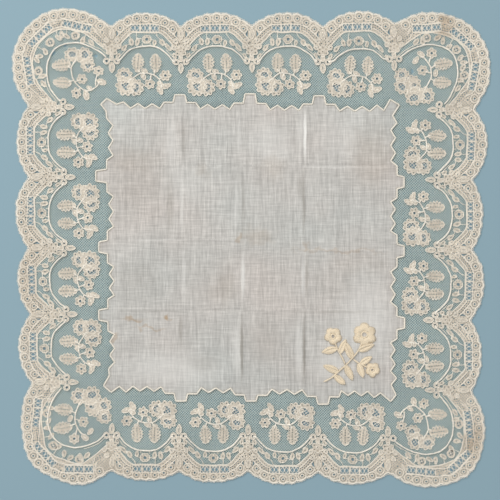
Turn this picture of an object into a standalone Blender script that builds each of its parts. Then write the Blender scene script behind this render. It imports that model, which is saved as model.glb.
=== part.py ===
"""A lace handkerchief lying flat: a fine linen centre with a zigzag edge and square tabs, a needle lace
border of net with flower sprays, and a scalloped outer band with small windows.

Frame: the middle of the handkerchief at the origin, +X right, +Y up as it lies before the viewer, +Z away
from the surface it lies on. Blender units are metres. Tables and outlines are in millimetres, and MM turns
them into metres when a piece is made. The four sides run clockwise: top, right, bottom, left. Each side
has its own frame, whose x runs along the side and whose y points outwards.
"""

import math
from collections import namedtuple

import bmesh
import bpy
from mathutils import Vector
from mathutils.geometry import delaunay_2d_cdt

MM = 0.001

# Thicknesses and heights, in millimetres
LINEN_THICK = 1.0
NET_THICK = 1.0
BAND_THICK = 1.2
GAP = 0.3
CORD_THICK = 0.6
FLEURON_THICK = 0.9
SPRAY_THICK = 0.8
SPRIG_THICK = 1.0

# Scallops of the outer edge
SCALLOP_STEPS = 8
SCALLOP_POWER = 2.2
CORNER_STEPS = 12
RADIUS_STEP = 15.0

# The outer band: how far it reaches inwards, in the middle of a scallop and at a valley
BAND_MIDDLE = 4.4
BAND_VALLEY = 21.0
BAND_FLAT_HALF = 9.0
BAND_POWER = 1.35
BAND_STEPS = 7
CORNER_BAND_DEPTH = 14.6
CORNER_VALLEY_ANGLE = 12.0
CORNER_SLOPE_STEP = 1.0
UNIT_HALF = 24.9

# Windows of openwork in the band
WINDOW_WIDE = 5.2
WINDOW_TALL = 4.2
WINDOW_PITCH = 7.0
WINDOW_SHIFT = -1.0
WINDOW_T = 1.2
CORNER_WINDOW_DEPTH = 11.0

# The smooth cord that swags from one fleuron to the next
SWAG_WIDE = 1.2
SWAG_MIDDLE = 14.2
SWAG_FALL = 0.00466
SWAG_POWER = 2.6
SWAG_STEPS = 6
SWAG_ROOT = 4.6
EYELET_OUT = 3.6
EYELET_T = 25.0

# The zigzag edge of the linen, measured from the level of its dips
TOOTH_RISE = 3.4
SHOULDER_RISE = 4.6
TAB_HALF = 3.6
SHOULDER_FROM = 4.8
SHOULDER_TO = 11.3
EDGE_CORD_WIDE = 1.6

# Ironed folds of the linen
FOLD_HALF = 3.0
FOLD_RISE = 0.5
FOLD_END = 93.0

Valley = namedtuple("Valley", "along out crest drop")
# A row for each valley of the outer edge. The scallop that follows it rises by crest, and the pattern inside
# that scallop lies lower by drop.
VALLEYS = (
    (
        Valley(along=-99.0, out=157.9, crest=9.6, drop=0.0),
        Valley(along=-49.9, out=157.2, crest=9.6, drop=0.0),
        Valley(along=0.6, out=157.9, crest=9.6, drop=0.0),
        Valley(along=51.1, out=157.2, crest=9.9, drop=2.6),
        Valley(along=101.6, out=159.3, crest=0.0, drop=0.0),
    ),
    (
        Valley(along=-98.2, out=158.5, crest=10.0, drop=0.0),
        Valley(along=-48.4, out=157.1, crest=7.5, drop=0.0),
        Valley(along=1.4, out=157.1, crest=9.2, drop=0.0),
        Valley(along=51.2, out=155.7, crest=7.4, drop=0.0),
        Valley(along=101.0, out=156.7, crest=0.0, drop=0.0),
    ),
    (
        Valley(along=-97.3, out=160.0, crest=8.2, drop=0.0),
        Valley(along=-47.5, out=159.3, crest=8.9, drop=0.0),
        Valley(along=2.2, out=158.6, crest=7.8, drop=0.0),
        Valley(along=51.3, out=158.6, crest=6.9, drop=0.0),
        Valley(along=99.0, out=157.9, crest=0.0, drop=0.0),
    ),
    (
        Valley(along=-95.3, out=155.9, crest=8.9, drop=0.0),
        Valley(along=-46.9, out=156.6, crest=8.5, drop=0.0),
        Valley(along=0.0, out=158.0, crest=9.2, drop=0.0),
        Valley(along=50.5, out=158.0, crest=8.2, drop=0.0),
        Valley(along=100.3, out=158.7, crest=0.0, drop=0.0),
    ),
)

# A row for each corner, after the side it follows: the edge's distance from the corner's centre, every 15°
CORNER_RADII = (
    (61.1, 71.2, 77.8, 81.0, 77.6, 69.0, 56.9),
    (59.4, 70.0, 78.2, 83.2, 78.0, 70.2, 59.0),
    (62.6, 75.2, 79.5, 81.0, 73.4, 65.8, 56.9),
    (59.7, 71.5, 80.5, 83.1, 79.9, 69.5, 57.6),
)
CORNER_SWAG_RADII = (32.5, 44.0, 53.5, 57.5, 52.5, 42.0, 32.5)

# The two corner patterns: the middle angle of each set of three windows
CORNER_WINDOWS = {"even": (16.5, 41.5, 71.0), "odd": (20.0, 44.5, 71.0)}

Tab = namedtuple("Tab", "along out")
# A row for each square tab of the linen's edge
TABS = (
    (Tab(along=-50.6, out=108.8), Tab(along=-0.8, out=109.5), Tab(along=48.3, out=108.1)),
    (Tab(along=-46.9, out=108.7), Tab(along=2.1, out=108.7), Tab(along=53.3, out=109.1)),
    (Tab(along=-51.1, out=111.0), Tab(along=0.1, out=108.8), Tab(along=49.9, out=108.8)),
    (Tab(along=-47.7, out=108.2), Tab(along=0.7, out=108.2), Tab(along=51.2, out=110.4)),
)

EdgeLevel = namedtuple("EdgeLevel", "first last")
# The level of the dips at each end of a side
EDGE_LEVELS = (
    EdgeLevel(first=99.4, last=97.0),
    EdgeLevel(first=99.2, last=99.0),
    EdgeLevel(first=102.0, last=98.0),
    EdgeLevel(first=96.8, last=98.2),
)

# Teeth from a tab towards the next tab or the corner: where each stands, and its share of the tooth's rise
Tooth = namedtuple("Tooth", "at rise")
TEETH = (
    Tooth(at=14.5, rise=0.0),
    Tooth(at=19.8, rise=1.0),
    Tooth(at=25.0, rise=0.0),
    Tooth(at=30.2, rise=1.0),
    Tooth(at=35.5, rise=0.0),
)
LAST_TOOTH = 40.5
LAST_RISE = 1.3

CornerTab = namedtuple("CornerTab", "dip_x dip_y first_x first_y second_x second_y end_x end_y")
# A row for each corner: the dip before its tab, the tab's two tips and the dip after it, in world places
CORNER_TABS = (
    CornerTab(94.4, 97.8, 98.8, 105.6, 105.4, 101.7, 100.5, 94.0),
    CornerTab(99.5, -97.2, 103.0, -104.5, 99.2, -109.1, 91.9, -103.0),
    CornerTab(-93.7, -98.3, -99.5, -102.6, -104.9, -97.9, -100.7, -90.6),
    CornerTab(-103.0, 97.1, -106.8, 102.1, -102.5, 106.2, -95.6, 102.1),
)

FOLDS_X = (-49.2, -7.2, 39.0)
FOLDS_Y = (61.2, 5.7, -47.7)

# The half outline of a fleuron: how far out to each side at each distance inwards from the valley
FLEURON_HALF = (
    (0.0, 2.2),
    (2.4, 5.0),
    (3.0, 9.0),
    (6.4, 10.5),
    (5.0, 13.5),
    (6.6, 16.0),
    (4.6, 19.8),
    (3.0, 21.5),
    (6.4, 23.4),
    (6.2, 27.0),
    (2.9, 28.0),
    (0.0, 33.2),
)
# The swag cord leaves the fleuron's right half after this row
FLEURON_JOIN = 8

Motif = namedtuple("Motif", "x y half_x half_y turn points notch")
# Motifs of the spray inside a plain scallop. x runs along the side, y is the distance inwards.
PLAIN_SPRAY = (
    Motif(-15.6, 34.8, 5.6, 5.4, 0, 8, 0.88),
    Motif(-14.4, 42.2, 6.9, 6.7, 20, 8, 0.88),
    Motif(-7.4, 43.2, 5.6, 5.7, 40, 8, 0.88),
    Motif(-6.0, 25.8, 6.5, 3.7, 92, 8, 0.94),
    Motif(6.6, 25.8, 6.5, 3.7, 88, 8, 0.94),
    Motif(2.6, 40.7, 3.4, 3.4, 10, 6, 1.0),
    Motif(13.8, 34.4, 3.5, 3.5, 30, 6, 1.0),
    Motif(10.0, 45.0, 3.0, 1.8, 65, 5, 1.0),
    Motif(14.2, 42.0, 3.2, 1.7, -25, 5, 1.0),
    Motif(-2.0, 35.6, 2.2, 1.5, 70, 5, 1.0),
)
PLAIN_STEMS = (
    ((-11.5, 38.6), (-5.5, 33.9), (-0.7, 33.0), (4.6, 34.0), (9.9, 37.6), (11.4, 43.4)),
    ((-6.0, 30.5), (-3.5, 33.6)),
    ((6.6, 30.5), (5.6, 34.6)),
    ((2.6, 38.5), (3.6, 33.8)),
    ((11.5, 36.0), (9.4, 37.4)),
    ((-1.8, 36.0), (-1.2, 33.0)),
)

Shift = namedtuple("Shift", "along inwards turn")
# How far each plain spray lies from its regular place, clockwise, a row for each scallop
SPRAY_SHIFTS = (
    (Shift(0.3, 0.3, 0), Shift(0.0, 0.3, 0), Shift(-0.6, 0.3, 0), Shift(1.6, 2.8, 6)),
    (Shift(0.9, 0.0, 0), Shift(1.0, 0.2, 0), Shift(1.2, 0.0, 0), Shift(1.3, 0.0, 0)),
    (Shift(-0.8, 0.3, 0), Shift(-0.4, 0.2, 0), Shift(-1.0, 0.4, 0), Shift(-0.2, 0.9, 0)),
    (Shift(-1.4, 0.9, 0), Shift(-1.4, 1.1, 0), Shift(-1.2, 1.2, 0), Shift(-1.3, 1.0, 0)),
)

# Motifs of the corner sprays. x and y are measured from the corner's centre along its two sides.
EVEN_CORNER_SPRAY = (
    Motif(35.0, 32.6, 6.6, 3.9, 8, 8, 0.94),
    Motif(34.2, 19.4, 6.4, 3.9, -4, 8, 0.94),
    Motif(26.6, 40.3, 3.5, 3.5, 0, 6, 1.0),
    Motif(20.2, 28.2, 3.4, 3.4, 20, 6, 1.0),
    Motif(17.8, 37.4, 3.6, 2.4, 20, 8, 0.85),
    Motif(5.6, 24.4, 5.2, 5.0, 10, 8, 0.88),
    Motif(6.4, 17.0, 6.0, 5.8, 30, 8, 0.88),
    Motif(14.8, 9.8, 6.8, 6.4, 50, 8, 0.88),
    Motif(22.6, 10.4, 5.8, 6.0, 70, 8, 0.88),
    Motif(13.0, 18.6, 6.0, 5.6, 0, 8, 0.9),
)
EVEN_CORNER_STEMS = (
    ((21.6, 13.0), (24.4, 19.0), (26.2, 24.0), (25.6, 30.5), (22.0, 36.2), (18.6, 37.4)),
    ((30.0, 31.6), (26.0, 29.4)),
    ((29.4, 19.8), (25.6, 22.4)),
    ((26.0, 38.2), (24.6, 32.4)),
    ((22.4, 27.6), (26.0, 26.0)),
)
ODD_CORNER_SPRAY = (
    Motif(29.6, 35.8, 3.9, 6.6, 5, 8, 0.94),
    Motif(17.2, 35.2, 3.8, 6.4, -3, 8, 0.94),
    Motif(37.0, 27.6, 5.0, 5.8, 10, 8, 0.88),
    Motif(36.2, 19.6, 6.0, 5.6, 30, 8, 0.88),
    Motif(30.0, 17.4, 5.0, 5.0, 50, 8, 0.88),
    Motif(19.8, 21.2, 3.3, 3.3, 0, 6, 1.0),
    Motif(25.4, 9.4, 3.4, 3.4, 20, 6, 1.0),
    Motif(9.8, 25.4, 3.4, 3.4, 40, 6, 1.0),
    Motif(17.6, 7.4, 3.0, 1.8, 70, 5, 1.0),
    Motif(8.4, 18.4, 3.0, 1.8, 10, 5, 1.0),
)
ODD_CORNER_STEMS = (
    (
        (34.6, 25.0),
        (28.5, 28.4),
        (24.2, 28.4),
        (18.0, 26.6),
        (13.6, 22.4),
        (11.0, 18.0),
        (14.0, 11.4),
        (18.0, 8.6),
    ),
    ((29.0, 31.0), (26.6, 28.0)),
    ((18.0, 30.4), (19.0, 26.6)),
    ((19.0, 23.0), (17.4, 26.4)),
    ((11.2, 23.6), (13.6, 22.0)),
    ((22.8, 10.4), (18.6, 11.6), (15.0, 11.6)),
    ((9.6, 18.0), (11.8, 18.2)),
)
STEM_WIDE = 1.4

# The raised sprig that is worked in the linen's lower right corner, measured from the sprig's middle
SPRIG_PLACE = (71.6, -74.0)
SPRIG_FLOWERS = (
    Motif(9.0, 12.4, 8.8, 8.8, 0, 12, 0.82),
    Motif(-13.4, 11.4, 6.4, 6.4, 15, 10, 0.82),
    Motif(14.6, -12.6, 5.6, 5.6, 20, 10, 0.84),
)
SprigLeaf = namedtuple("SprigLeaf", "x y length width turn")
# A row for each leaf, from where it joins its stem
SPRIG_LEAVES = (
    SprigLeaf(4.6, 1.0, 12.0, 5.6, 22),
    SprigLeaf(0.2, -4.6, 12.6, 5.6, 112),
    SprigLeaf(-4.6, -9.4, 11.8, 5.4, -64),
    SprigLeaf(-9.6, -14.0, 11.0, 5.2, 158),
    SprigLeaf(-12.4, -16.6, 9.6, 4.8, -38),
    SprigLeaf(-10.6, 2.6, 11.0, 5.2, 196),
    SprigLeaf(-8.8, -0.6, 10.6, 5.0, 64),
    SprigLeaf(6.0, -8.6, 9.6, 4.8, 34),
    SprigLeaf(4.6, -8.2, 10.4, 5.0, -72),
)
SPRIG_STEMS = (
    ((7.0, 7.0), (4.6, 1.0), (0.2, -4.6), (-4.6, -9.4), (-9.6, -14.0), (-15.0, -18.6), (-20.0, -21.4)),
    ((-12.4, 7.6), (-10.6, 2.6), (-7.6, -2.6), (-4.8, -8.6)),
    ((11.4, -11.0), (6.0, -8.6), (0.8, -5.0)),
)
SPRIG_STEM_WIDE = 1.6
SPRIG_LEAF_POINTS = 6

SIDE_COUNT = 4
MERGE = 0.02
FLAT_ANGLE = math.radians(0.5)
# A sharp corner of an offset outline reaches no further than the offset over this
MITRE_LEAST = 0.4

Surface = namedtuple("Surface", "name colour roughness")
LINEN = Surface("linen_batiste", (0.62, 0.59, 0.57), 0.8)
NET = Surface("cotton_net", (0.55, 0.56, 0.52), 0.85)
TOILE = Surface("cotton_needle_lace", (0.79, 0.68, 0.55), 0.8)
RAISED = Surface("padded_cotton_stitches", (0.86, 0.76, 0.60), 0.7)


def clear_scene():
    for old in list(bpy.data.objects):
        bpy.data.objects.remove(old, do_unlink=True)


def new_collection(name, hidden=False):
    collection = bpy.data.collections.new(name)
    bpy.context.scene.collection.children.link(collection)
    collection.hide_render = hidden
    return collection


def material(surface):
    made = bpy.data.materials.new(surface.name)
    made.use_nodes = True
    shader = made.node_tree.nodes["Principled BSDF"]
    shader.inputs["Base Color"].default_value = (*surface.colour, 1.0)
    shader.inputs["Roughness"].default_value = surface.roughness
    shader.inputs["Metallic"].default_value = 0.0
    return made


def turned(side, point):
    """A point of a side's frame in the world's frame: each side is a quarter turn clockwise on."""
    x, y = point
    for _ in range(side):
        x, y = y, -x
    return x, y


def smooth_value(values, place):
    """Catmull-Rom through evenly spaced values, at a place counted in steps."""
    index = min(int(place), len(values) - 2)
    part = place - index
    before = values[max(index - 1, 0)]
    start = values[index]
    end = values[index + 1]
    after = values[min(index + 2, len(values) - 1)]
    slope_in = (end - before) / 2
    slope_out = (after - start) / 2
    cube = part**3
    square = part**2
    return (
        (2 * cube - 3 * square + 1) * start
        + (cube - 2 * square + part) * slope_in
        + (3 * square - 2 * cube) * end
        + (cube - square) * slope_out
    )


def unit_point(side, unit, share, inwards):
    """A point over the line between two valleys: share of the way along it, and so far inwards."""
    first = VALLEYS[side][unit]
    second = VALLEYS[side][unit + 1]
    along = first.along + (second.along - first.along) * share
    out = first.out + (second.out - first.out) * share
    return along, out - inwards


def corner_centre(side):
    """The centre of the corner that follows a side, in that side's frame."""
    return VALLEYS[side][-1].along, -VALLEYS[(side + 1) % SIDE_COUNT][0].along


def corner_point(side, angle, radius):
    centre_x, centre_y = corner_centre(side)
    turn = math.radians(angle)
    return centre_x + radius * math.sin(turn), centre_y + radius * math.cos(turn)


def scallop_rise(side, unit, share):
    crest = VALLEYS[side][unit].crest
    return crest * (1 - abs(2 * share - 1) ** SCALLOP_POWER)


def band_reach(share):
    """How far inwards the band reaches, at a share of the way from one valley to the next."""
    from_middle = abs(2 * share - 1) * UNIT_HALF
    if from_middle < BAND_FLAT_HALF:
        return BAND_MIDDLE
    slope = (from_middle - BAND_FLAT_HALF) / (UNIT_HALF - BAND_FLAT_HALF)
    return BAND_MIDDLE + (BAND_VALLEY - BAND_MIDDLE) * slope**BAND_POWER


def corner_radius(side, angle):
    return smooth_value(CORNER_RADII[side], angle / RADIUS_STEP)


def corner_way(side, angle):
    """The direction in which the outer edge runs around a corner."""
    ends = []
    for near in (angle - CORNER_SLOPE_STEP, angle + CORNER_SLOPE_STEP):
        ends.append(Vector(corner_point(side, near, corner_radius(side, near))))
    return (ends[1] - ends[0]).normalized()


def inside_corner(side, angle, depth):
    """A point so far inside the outer edge of a corner, straight in from the edge."""
    edge = Vector(corner_point(side, angle, corner_radius(side, angle)))
    way = corner_way(side, angle)
    return edge + Vector((way.y, -way.x)) * depth


def corner_band_point(side, angle):
    """The band's inner edge around a corner: deeper at the valleys, where it runs in towards the centre."""
    near = min(angle, 90 - angle)
    valley_share = max(0.0, 1 - near / CORNER_VALLEY_ANGLE)
    straight_in = inside_corner(side, angle, CORNER_BAND_DEPTH)
    to_centre = Vector(corner_point(side, angle, corner_radius(side, angle) - BAND_VALLEY))
    point = straight_in.lerp(to_centre, valley_share)
    return point.x, point.y


def outer_edge():
    points = []
    for side in range(SIDE_COUNT):
        for unit in range(len(VALLEYS[side]) - 1):
            for step in range(SCALLOP_STEPS):
                share = step / SCALLOP_STEPS
                points.append(turned(side, unit_point(side, unit, share, -scallop_rise(side, unit, share))))
        for step in range(CORNER_STEPS):
            angle = 90 * step / CORNER_STEPS
            points.append(turned(side, corner_point(side, angle, corner_radius(side, angle))))
    return points


def band_inner_edge():
    points = []
    for side in range(SIDE_COUNT):
        for unit in range(len(VALLEYS[side]) - 1):
            for step in range(BAND_STEPS):
                share = step / BAND_STEPS
                points.append(turned(side, unit_point(side, unit, share, band_reach(share))))
        for step in range(CORNER_STEPS):
            points.append(turned(side, corner_band_point(side, 90 * step / CORNER_STEPS)))
    return points


def window(centre, along):
    """A small upright window of the band: its centre, and the direction in which its width runs."""
    across = Vector((-along.y, along.x))
    corners = []
    for wide, tall in ((-1, -1), (1, -1), (1, 1), (-1, 1)):
        point = centre + along * wide * WINDOW_WIDE / 2 + across * tall * WINDOW_TALL / 2
        corners.append((point.x, point.y))
    return corners


def band_windows():
    """Three windows in each scallop, and three sets of three around each corner."""
    loops = []
    for side in range(SIDE_COUNT):
        for unit in range(len(VALLEYS[side]) - 1):
            start = Vector(turned(side, unit_point(side, unit, 0, 0)))
            end = Vector(turned(side, unit_point(side, unit, 1, 0)))
            along = (end - start).normalized()
            inwards = Vector((along.y, -along.x))
            middle = (start + end) / 2 + inwards * WINDOW_T
            shift = WINDOW_SHIFT if side % 2 == 0 else -WINDOW_SHIFT
            for place in (-1, 0, 1):
                loops.append(window(middle + along * (shift + place * WINDOW_PITCH), along))
        for middle_angle in CORNER_WINDOWS["odd" if side % 2 else "even"]:
            middle = Vector(turned(side, inside_corner(side, middle_angle, CORNER_WINDOW_DEPTH)))
            along = Vector(turned(side, corner_way(side, middle_angle)))
            for place in (-1, 0, 1):
                loops.append(window(middle + along * place * WINDOW_PITCH, along))
    return loops


def edge_level(side, along):
    """The level of the zigzag's dips at a place along a side."""
    level = EDGE_LEVELS[side]
    share = (along + FOLD_END) / (2 * FOLD_END)
    return level.first + (level.last - level.first) * share


def tooth_point(side, along, rise):
    """The tip of a tooth, or a dip where rise is 0."""
    return along, edge_level(side, along) + TOOTH_RISE * rise


def tab_points(side, tab):
    """A square tab between its two shoulders."""
    points = []
    for ways in (-1, 1):
        near = tab.along + ways * SHOULDER_FROM
        far = tab.along + ways * SHOULDER_TO
        shoulder = [
            (far, edge_level(side, far) + SHOULDER_RISE),
            (near, edge_level(side, near) + SHOULDER_RISE),
            (tab.along + ways * TAB_HALF, tab.out),
        ]
        points.extend(shoulder if ways < 0 else reversed(shoulder))
    return points


def end_teeth(side, tab, dip_along):
    """The teeth between the last tab and the corner's dip, spaced to fit."""
    whole = abs(dip_along - tab.along)
    ways = 1 if dip_along > tab.along else -1
    scale = whole / (TEETH[-1].at + 2 * (LAST_TOOTH - TEETH[-1].at))
    points = []
    for tooth in TEETH + (Tooth(at=LAST_TOOTH, rise=LAST_RISE),):
        points.append(tooth_point(side, tab.along + ways * tooth.at * scale, tooth.rise))
    return points


def linen_edge():
    """The zigzag outline of the linen, clockwise from the top left corner."""
    points = []
    for side in range(SIDE_COUNT):
        before = CORNER_TABS[side - 1]
        after = CORNER_TABS[side]
        tabs = TABS[side]
        quarter_back = (SIDE_COUNT - side) % SIDE_COUNT
        first_dip = turned(quarter_back, (before.end_x, before.end_y))
        last_dip = turned(quarter_back, (after.dip_x, after.dip_y))
        run = [first_dip]
        run.extend(reversed(end_teeth(side, tabs[0], first_dip[0])))
        for index, tab in enumerate(tabs):
            run.extend(tab_points(side, tab))
            if index + 1 < len(tabs):
                room = tabs[index + 1].along - tab.along
                scale = room / (TEETH[0].at + TEETH[-1].at)
                for tooth in TEETH:
                    run.append(tooth_point(side, tab.along + tooth.at * scale, tooth.rise))
        run.extend(end_teeth(side, tabs[-1], last_dip[0]))
        points.extend(turned(side, point) for point in run)
        points.append((after.dip_x, after.dip_y))
        points.append((after.first_x, after.first_y))
        points.append((after.second_x, after.second_y))
    return points


def offset(points, distance):
    """A clockwise outline moved outwards by a distance, or inwards by a negative one."""
    moved = []
    for index, point in enumerate(points):
        here = Vector(point)
        back = (here - Vector(points[index - 1])).normalized()
        onward = (Vector(points[(index + 1) % len(points)]) - here).normalized()
        out_back = Vector((-back.y, back.x))
        out_onward = Vector((-onward.y, onward.x))
        way = (out_back + out_onward).normalized()
        reach = distance / max(way.dot(out_back), MITRE_LEAST)
        moved.append((here.x + way.x * reach, here.y + way.y * reach))
    return moved


def strip(points, width):
    """The outline of a narrow strip along a route."""
    left = []
    right = []
    for index, point in enumerate(points):
        here = Vector(point)
        before = Vector(points[max(index - 1, 0)])
        after = Vector(points[min(index + 1, len(points) - 1)])
        way = (after - before).normalized()
        across = Vector((-way.y, way.x)) * width / 2
        left.append(here + across)
        right.append(here - across)
    return [(point.x, point.y) for point in left + right[::-1]]


def motif_outline(motif):
    """A flower, petal lobe or leaf: an oval whose edge steps in at every second point."""
    turn = math.radians(motif.turn)
    points = []
    for index in range(motif.points):
        angle = math.tau * index / motif.points
        reach = 1.0 if index % 2 == 0 else motif.notch
        x = motif.half_x * reach * math.cos(angle)
        y = motif.half_y * reach * math.sin(angle)
        points.append(
            (
                motif.x + x * math.cos(turn) - y * math.sin(turn),
                motif.y + x * math.sin(turn) + y * math.cos(turn),
            )
        )
    return points


def flat_piece(name, loops, bottom, thick, collection, surface):
    """A flat piece from its outline and the outlines of its holes, as a filled curve."""
    curve = bpy.data.curves.new(name, "CURVE")
    curve.dimensions = "2D"
    curve.fill_mode = "BOTH"
    curve.extrude = thick * MM / 2
    for loop in loops:
        spline = curve.splines.new("POLY")
        spline.points.add(len(loop) - 1)
        for point, (x, y) in zip(spline.points, loop):
            point.co = (x * MM, y * MM, 0, 1)
        spline.use_cyclic_u = True
    piece = bpy.data.objects.new(name, curve)
    piece.location.z = (bottom + thick / 2) * MM
    curve.materials.append(surface)
    collection.objects.link(piece)
    return piece


def as_mesh(piece, collection):
    """The same piece as a mesh whose caps are joined to its rim."""
    name = piece.name
    bpy.context.view_layer.update()
    depsgraph = bpy.context.evaluated_depsgraph_get()
    mesh = bpy.data.meshes.new_from_object(piece.evaluated_get(depsgraph))
    place = piece.matrix_world.copy()
    bpy.data.objects.remove(piece, do_unlink=True)
    shape = bmesh.new()
    shape.from_mesh(mesh)
    bmesh.ops.remove_doubles(shape, verts=shape.verts, dist=MERGE * MM)
    bmesh.ops.recalc_face_normals(shape, faces=shape.faces)
    shape.to_mesh(mesh)
    shape.free()
    mesh.name = name
    whole = bpy.data.objects.new(name, mesh)
    whole.matrix_world = place
    collection.objects.link(whole)
    return whole


def joined_mesh(name, outlines, thick, surface, workshop):
    """One mesh from many flat outlines that overlap, standing on its origin."""
    pieces = []
    for index, outline in enumerate(outlines):
        piece = flat_piece(f"{name}_{index}", [outline], 0, thick, workshop, surface)
        pieces.append(as_mesh(piece, workshop))
    base = pieces[0]
    for piece in pieces[1:]:
        join = base.modifiers.new("join", "BOOLEAN")
        join.operation = "UNION"
        join.solver = "EXACT"
        join.object = piece
    bpy.context.view_layer.update()
    depsgraph = bpy.context.evaluated_depsgraph_get()
    mesh = bpy.data.meshes.new_from_object(base.evaluated_get(depsgraph))
    mesh.transform(base.matrix_world)
    for piece in pieces:
        bpy.data.objects.remove(piece, do_unlink=True)
    shape = bmesh.new()
    shape.from_mesh(mesh)
    bmesh.ops.remove_doubles(shape, verts=shape.verts, dist=MERGE * MM)
    bmesh.ops.dissolve_limit(shape, angle_limit=FLAT_ANGLE, verts=shape.verts, edges=shape.edges)
    shape.to_mesh(mesh)
    shape.free()
    mesh.name = name
    return mesh


def sprig_leaf(leaf):
    """The leaf as a motif about its own middle."""
    turn = math.radians(leaf.turn)
    x = leaf.x + leaf.length / 2 * math.cos(turn)
    y = leaf.y + leaf.length / 2 * math.sin(turn)
    return Motif(x, y, leaf.length / 2, leaf.width / 2, leaf.turn, SPRIG_LEAF_POINTS, 1.0)


def spray_outlines(motifs, stems, stem_wide, flip_x=1, flip_y=1):
    """The outlines of a spray: its flowers and leaves, and the stems that carry them."""
    outlines = [motif_outline(motif) for motif in motifs]
    outlines += [strip(stem, stem_wide) for stem in stems]
    return [[(x * flip_x, y * flip_y) for x, y in outline] for outline in outlines]


def swag_points(side, unit):
    """The route of the cord that swags below a scallop, from one fleuron's eyelet to the next."""
    points = []
    length = VALLEYS[side][unit + 1].along - VALLEYS[side][unit].along
    first = EYELET_OUT / length
    last = 1 - (EYELET_OUT + SWAG_ROOT) / length
    for step in range(SWAG_STEPS + 1):
        share = first + (last - first) * step / SWAG_STEPS
        from_middle = abs(2 * share - 1) * UNIT_HALF
        inwards = SWAG_MIDDLE + VALLEYS[side][unit].drop + SWAG_FALL * from_middle**SWAG_POWER
        points.append(unit_point(side, unit, share, min(inwards, EYELET_T)))
    return points


def corner_swag_points(side):
    """The same cord around a corner."""
    points = []
    steps = SWAG_STEPS * 2
    first = math.degrees(EYELET_OUT / CORNER_SWAG_RADII[0])
    last = 90 - math.degrees((EYELET_OUT + SWAG_ROOT) / CORNER_SWAG_RADII[0])
    for step in range(steps + 1):
        angle = first + (last - first) * step / steps
        radius = smooth_value(CORNER_SWAG_RADII, angle / RADIUS_STEP)
        points.append(corner_point(side, angle, radius))
    return points


def fleuron_outline(side, index):
    """A fleuron hanging from a valley with the swag cord to the next, in the valley's own frame."""
    valley = VALLEYS[side][index]
    last = index == len(VALLEYS[side]) - 1
    route = corner_swag_points(side) if last else swag_points(side, index)
    local = [(x - valley.along, y - valley.out) for x, y in route]
    right = [(out, -inwards) for out, inwards in FLEURON_HALF]
    left = [(-out, -inwards) for out, inwards in reversed(FLEURON_HALF[1:-1])]
    edge = strip(local, SWAG_WIDE)
    count = len(local)
    upper = edge[:count]
    lower = edge[count:]
    first_half = right[: FLEURON_JOIN + 1]
    second_half = right[FLEURON_JOIN + 1 :]
    return first_half + upper[1:] + lower[:-1] + second_half + left


def fold_lines():
    """The foot, crest and foot of each ironed fold, as lines across the linen."""
    lines = []
    for part in (-1, 0, 1):
        for fold in FOLDS_X:
            place = fold + part * FOLD_HALF
            lines.append((Vector((place, -FOLD_END)), Vector((place, FOLD_END))))
        for fold in FOLDS_Y:
            place = fold + part * FOLD_HALF
            lines.append((Vector((-FOLD_END, place)), Vector((FOLD_END, place))))
    return lines


def on_crest(point):
    inside = max(abs(point.x), abs(point.y)) < FOLD_END - FOLD_HALF
    on_fold_x = any(abs(point.x - fold) < MERGE for fold in FOLDS_X)
    on_fold_y = any(abs(point.y - fold) < MERGE for fold in FOLDS_Y)
    return inside and (on_fold_x or on_fold_y)


def linen_mesh(name, outline, surface):
    """The linen as an open sheet, divided along its ironed folds, whose crests are lifted."""
    points = [Vector(point) for point in outline]
    count = len(points)
    edges = [(index, (index + 1) % count) for index in range(count)]
    for start, end in fold_lines():
        edges.append((len(points), len(points) + 1))
        points += [start, end]
    inside_only = 1
    flat_points, _, faces, *_ = delaunay_2d_cdt(points, edges, [list(range(count))], inside_only, MERGE)
    shape = bmesh.new()
    verts = []
    for point in flat_points:
        height = LINEN_THICK + (FOLD_RISE if on_crest(point) else 0)
        verts.append(shape.verts.new((point.x * MM, point.y * MM, height * MM)))
    for face in faces:
        shape.faces.new([verts[index] for index in face])
    bmesh.ops.recalc_face_normals(shape, faces=shape.faces)
    if sum(face.normal.z for face in shape.faces) < 0:
        bmesh.ops.reverse_faces(shape, faces=shape.faces)
    mesh = bpy.data.meshes.new(name)
    shape.to_mesh(mesh)
    shape.free()
    mesh.materials.append(surface)
    return mesh


def place_on_side(name, mesh, side, point, tilt, bottom, parts):
    """An object at a point of a side's frame, turned with the side and by a tilt of its own."""
    piece = bpy.data.objects.new(name, mesh)
    x, y = turned(side, point)
    piece.location = (x * MM, y * MM, bottom * MM)
    piece.rotation_euler.z = tilt - side * math.pi / 2
    parts.objects.link(piece)


def linen_centre(parts):
    """The linen, with its ironed folds."""
    name = "linen_centre"
    centre = bpy.data.objects.new(name, linen_mesh(name, linen_edge(), material(LINEN)))
    parts.objects.link(centre)
    cloth = centre.modifiers.new("cloth", "SOLIDIFY")
    cloth.thickness = LINEN_THICK * MM
    cloth.offset = -1


def net_ground(parts):
    """The net between the linen and the scalloped band."""
    loops = [offset(band_inner_edge(), -GAP), offset(linen_edge(), GAP)]
    flat_piece("net_ground", loops, 0, NET_THICK, parts, material(NET))


def scallop_band(parts, toile):
    """The close outer band with its small windows."""
    loops = [outer_edge(), band_inner_edge(), *band_windows()]
    flat_piece("scallop_band", loops, 0, BAND_THICK, parts, toile)


def linen_edge_cord(parts, raised):
    """The buttonholed cord over the linen's zigzag edge."""
    half = EDGE_CORD_WIDE / 2
    loops = [offset(linen_edge(), half), offset(linen_edge(), -half)]
    flat_piece("linen_edge_cord", loops, LINEN_THICK + GAP, CORD_THICK, parts, raised)


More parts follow.
